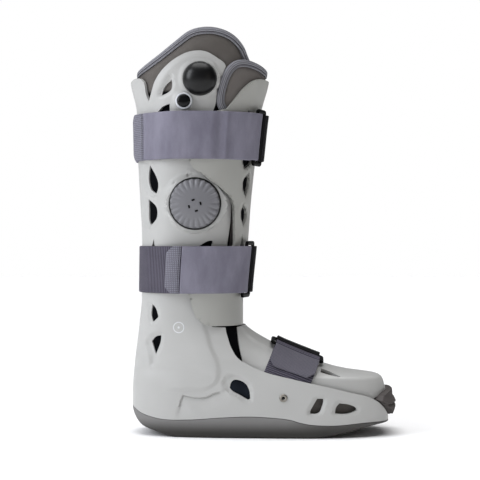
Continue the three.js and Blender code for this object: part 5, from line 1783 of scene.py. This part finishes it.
def foot_path(row, turn, level):
    """Where a line that leans with the instep leaves the form, found by halving."""
    row, turn, level = np.broadcast_arrays(np.asarray(row, float), turn, np.asarray(level, float))
    start = foot_hub + foot_down * row[..., None] * strap_width
    way = foot_up * np.cos(turn)[..., None] + np.array([0.0, 1.0, 0.0]) * np.sin(turn)[..., None]
    near, far = np.zeros(row.shape), np.full(row.shape, calf_width)
    for _ in range(halvings):
        reach = (near + far) / 2
        point = start + way * reach[..., None]
        x, y, z = point[..., 0], point[..., 1], point[..., 2]
        front, back = end_at("front", z, level), end_at("back", z, level)
        along = (x - (front + back) / 2) / np.maximum((front - back) / 2, 1e-3)
        square = form_value("square", z)
        across = np.clip(1 - np.abs(np.clip(along, -1, 1)) ** square, 0, 1) ** (1 / square)
        within = np.abs(y) < half_width(z, level) * across * (1 + form_value("spread", z) * along)
        within &= np.abs(along) < 1
        near, far = np.where(within, reach, near), np.where(within, far, reach)
    return start + way * near[..., None]


foot_inner = instep_level + clearance + webbing_thickness / 2
foot_outer = foot_inner + webbing_thickness + clearance
foot_bar_level = foot_inner + web_fold
foot_fold_level = foot_bar_level + web_fold
foot_near_bar, foot_far_bar, foot_end = -0.42, -0.06, 1.5
instep_radius, fold_run, fold_fall, foot_web_lap = 50, 0.1, 0.2, 0.3
foot_tab_start, foot_tab_end, foot_tab_reach = foot_near_bar - 0.13, foot_near_bar - 0.55, 0.42
foot_tab_lift, foot_tab_chamfer = 0.4, 6.5
foot_stations = lying(turns_between(-foot_end, foot_near_bar, instep_radius)[:-1], lambda t: foot_inner, -1)
foot_stations += folded(foot_near_bar, foot_bar_level, web_fold, 1)
foot_stations += lying(
    turns_between(foot_near_bar, foot_near_bar - fold_run, instep_radius)[1:],
    lambda t: foot_fold_level + (foot_near_bar - t) / fold_run * fold_fall * (foot_outer - foot_fold_level),
)
foot_strap = add_object("strap_foot_near", band_mesh(
    foot_path, foot_stations, webbing_thickness, wave=0.15))
finished(foot_strap, strap_webbing, "webbing", "boot", "strap_foot")
cloth_strip(foot_strap, "folded", "instep_shell", "ring_foot")


def foot_tab_level(turn):
    """It slopes from the fold's top down to the webbing."""
    share = (foot_tab_start - turn) / foot_tab_reach
    return foot_fold_level + share * (foot_outer + foot_tab_lift - foot_fold_level)


def foot_lap_level(turn):
    """The webbing's end rises from the strip under it to the fold's top."""
    share = float(eased(np.array(foot_far_bar + foot_web_lap - turn), 0, foot_web_lap))
    return foot_outer + (foot_fold_level - foot_outer) * share


foot_tab_tape = hook_cloth("moulded_dark_hook_tape", "6c6975", "403e48", 1.3)
foot_tab = add_object("strap_foot_hook_tab", band_mesh(
    foot_path,
    lying(turns_between(foot_tab_start, foot_tab_end, instep_radius), foot_tab_level),
    tab_thickness, chamfer=foot_tab_chamfer, wave=0.1))
finished(foot_tab, foot_tab_tape, "hook_tape", "boot", "strap_foot_tab")
far_turns = turns_between(foot_far_bar + foot_web_lap, foot_far_bar, instep_radius)[:-1]
far_stations = lying(far_turns, foot_lap_level)
far_stations += folded(foot_far_bar, foot_bar_level, web_fold, -1)[::-1]
far_stations += lying(turns_between(foot_far_bar, foot_end, instep_radius)[1:], lambda t: foot_inner, -1)
foot_webbing = add_object("strap_foot_far", band_mesh(
    foot_path, far_stations, webbing_thickness, wave=0.15))
finished(foot_webbing, ring_webbing, "webbing", "boot", "strap_foot_webbing")
cloth_strip(foot_webbing, "folded", "instep_shell", "ring_foot")
foot_ring = add_object("strap_foot_loop", ring_mesh(
    foot_path, foot_near_bar, foot_far_bar, foot_bar_level))
finished(foot_ring, ring_plastic, "ring_plastic", "boot", "ring_foot")

# Tray rivets
# Nickel-plated steel heads, one on each side, pressed through the tray and the foot strap's ends. A
# dark socket is sunk in the middle of each.
rivet_place = (0.336 * boot_length, 0.113 * shell_height)
rivet_rise = 0.1
rivet_seat = shell_form.width(*rivet_place)[0] + rivet_rise
rivet_profile = [
    (0, 0), (4.3, 0), (4.3, 0.35), (4.1, 0.75), (3.6, 1.1), (3.0, 1.25), (2.3, 1.15), (1.8, 0.8),
    (1.5, 0.3), (1.3, 0.12), (0, 0.1),
]
socket_profile = [(0, 0.15), (1.7, 0.15), (1.9, 0.4), (1.5, 0.62), (0, 0.5)]

# Nickel plate: a warm grey mirror, blurred by fine scratches and dull patches.
rivet_metal, tree, shader = surface("nickel_plated_steel", "8f8b83", 0.3, 2.0, Metallic=1.0)
place = object_place(tree)
two_tone(tree, shader, noise(tree, place, 1.5, 4.0), "78746d", "9d9991")
bump(tree, shader, noise(tree, place, 0.4, 3.0), 0.02)


def rivet_part(name, profile, steps, side):
    """A turned part on the near side, or its mirror image on the far side."""
    mesh = turned_mesh(profile, steps, rivet_place, rivet_seat)
    if side > 0:
        mesh.transform(Matrix.Diagonal((1, -1, 1, 1)))
        mesh.flip_normals()
    return add_object(name, mesh)


for name, side in (("tray_rivet_near", -1), ("tray_rivet_far", 1)):
    head = rivet_part(name + "_head", rivet_profile, 48, side)
    finished(head, rivet_metal, "rivet_metal", "boot", name)
    socket = rivet_part(name + "_socket", socket_profile, 24, side)
    finished(socket, button_plastic, "button_plastic", "boot")

# Stitching
# Lock stitches of dark polyester thread. A row on each side holds the tapes that bind the calf and shin
# pads, and a row across each leg strap's tab holds it to the band.
tape_stitch_depth, tape_stitch_sink = 2.4, 0.75
tab_stitch_half, tab_stitch_count, tab_stitch_rise = 0.46, 25, 0.2
top_tab_turn, middle_tab_turn = -2.49, -1.695

# Spun polyester: matt, with a fleck of paler fibre that lets single stitches show on the tape.
thread, tree, shader = surface("polyester_thread", "3b3a40", 0.7, 1.5)
two_tone(tree, shader, noise(tree, object_place(tree), 0.8), "2c2b30", "4b4a51")


def stitch_row_group():
    """Geometry Nodes: along each line of edges it lays one rounded stitch per pitch."""
    group = bpy.data.node_groups.new("stitch_row", "GeometryNodeTree")
    group.interface.new_socket("Geometry", in_out="INPUT", socket_type="NodeSocketGeometry")
    for name in ("Pitch", "Stitch length", "Thread thickness"):
        group.interface.new_socket(name, in_out="INPUT", socket_type="NodeSocketFloat")
    group.interface.new_socket("Thread", in_out="INPUT", socket_type="NodeSocketMaterial")
    group.interface.new_socket("Geometry", in_out="OUTPUT", socket_type="NodeSocketGeometry")
    given = add_node(group, "NodeGroupInput").outputs
    curve = add_node(group, "GeometryNodeMeshToCurve", {"Mesh": given["Geometry"]})
    spaced = add_node(group, "GeometryNodeResampleCurve", {
        "Curve": curve.outputs[0], "Length": given["Pitch"],
    }, mode="LENGTH")
    bead = add_node(group, "GeometryNodeMeshUVSphere", Segments=8, Rings=5, Radius=0.5)
    tangent = add_node(group, "GeometryNodeInputTangent")
    turned = add_node(group, "FunctionNodeAlignRotationToVector", {"Vector": tangent.outputs[0]}, axis="X")
    size = add_node(group, "ShaderNodeCombineXYZ", {
        "X": given["Stitch length"], "Y": given["Thread thickness"], "Z": given["Thread thickness"],
    })
    laid = add_node(group, "GeometryNodeInstanceOnPoints", {
        "Points": spaced.outputs[0], "Instance": bead.outputs[0], "Rotation": turned.outputs[0],
        "Scale": size.outputs[0],
    })
    real = add_node(group, "GeometryNodeRealizeInstances", {"Geometry": laid.outputs[0]})
    coloured = add_node(group, "GeometryNodeSetMaterial", {
        "Geometry": real.outputs[0], "Material": given["Thread"],
    })
    add_node(group, "NodeGroupOutput", {"Geometry": coloured.outputs[0]})
    return group


def made_by(group, item, **values):
    """Sets a node group's named inputs on an object, and keeps the result as a plain mesh."""
    modifier = item.modifiers.new(group.name, "NODES")
    modifier.node_group = group
    for socket in group.interface.items_tree:
        key = socket.name.replace(" ", "_")
        if socket.item_type == "SOCKET" and socket.in_out == "INPUT" and key in values:
            modifier[socket.identifier] = values[key]
    bpy.context.view_layer.update()
    whole = item.evaluated_get(bpy.context.evaluated_depsgraph_get())
    mesh = bpy.data.meshes.new_from_object(whole)
    item.modifiers.remove(modifier)
    item.data = mesh
    item.data.polygons.foreach_set("use_smooth", [True] * len(mesh.polygons))


stitch_group = stitch_row_group()


def stitches(name, lines, pitch=3.1, length=2.3, thickness=0.8):
    """Lays a row of stitches along each line."""
    points, edges = [], []
    for line in lines:
        edges += [(len(points) + i, len(points) + i + 1) for i in range(len(line) - 1)]
        points += (np.asarray(line) * mm).tolist()
    mesh = bpy.data.meshes.new(name)
    mesh.from_pydata(points, edges, [])
    item = add_object(name, mesh)
    made_by(stitch_group, item, Pitch=pitch * mm, Stitch_length=length * mm, Thread_thickness=thickness * mm,
            Thread=thread)
    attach(item, "boot")


def on_tape(form, line, below_edge, level):
    """A line on both outer faces of an edge tape, so far below the edge."""
    lines = []
    for side in (-1, 1):
        ring = beside(line, -below_edge)
        ring = ring[(ring[:, 0] > leg_rear) & (ring[:, 0] < leg_fore)]
        u = form.u_at(ring[:, 0], ring[:, 1])
        keep = (u > 0.004) & (u < 0.996)
        u, z = u[keep], ring[keep, 1]
        lines.append(form.point(u, z, side) + form.normal(u, z, side) * level)
    return lines


stitch_below, stitch_level = tape_width - tape_stitch_depth, tape_rise - tape_stitch_sink
stitches("calf_tape_stitches", on_tape(calf_form, liner_edge, stitch_below, stitch_level))
stitches("shin_tape_stitches", on_tape(shin_form, flap_line, stitch_below, stitch_level))
tab_straps = (("top_tab", top_strap, top_tab_turn), ("middle_tab", middle_strap, middle_tab_turn))
for name, (path, outer), turn in tab_straps:
    rows = np.linspace(-tab_stitch_half, tab_stitch_half, tab_stitch_count)
    level = outer(turn) + tab_lift + tab_thickness / 2 + tab_stitch_rise
    line = path(rows, np.full(tab_stitch_count, turn), np.full(tab_stitch_count, level))
    stitches(name + "_stitches", [line], pitch=2.6, length=2.0, thickness=0.6)

# Printed mark
# A plain ring with a dot in its middle, pad-printed in pale ink over the ankle on each side. It is a
# film of ink on the moulded shell, drawn thick enough to show.
mark_place = on_form([(178.8, 327.5)], shell_form)[0]
mark_radius, mark_bore, dot_radius = 6.1, 5.0, 1.3
ink_thickness, ink_rise = 0.2, 0.12

# Pad-printing ink: pale and even, a little mottled where the shell's grain shows through.
mark_ink, tree, shader = surface("pale_pad_print", "d2d4d6", 0.5, 1.5)
two_tone(tree, shader, noise(tree, object_place(tree), 0.6), "c6c8ca", "dcdee0")


def round_line(radius, steps=64):
    """A circle round the mark's middle, in the side view."""
    turns = np.linspace(0, 2 * math.pi, steps, endpoint=False)
    return mark_place + radius * np.stack([np.cos(turns), np.sin(turns)], axis=1)


for name, outline, holes in (
    ("mark_ring", round_line(mark_radius), [round_line(mark_bore)]),
    ("mark_dot", round_line(dot_radius, 24), []),
):
    mark = add_object(name, shell_mesh(
        shell_form, outline, holes, spacing=0.9, rim=0.45, wall=ink_thickness,
        relief=lambda view, side: base_relief(view, side) + ink_rise,
    ))
    finished(mark, mark_ink, "shell_plastic", "boot")
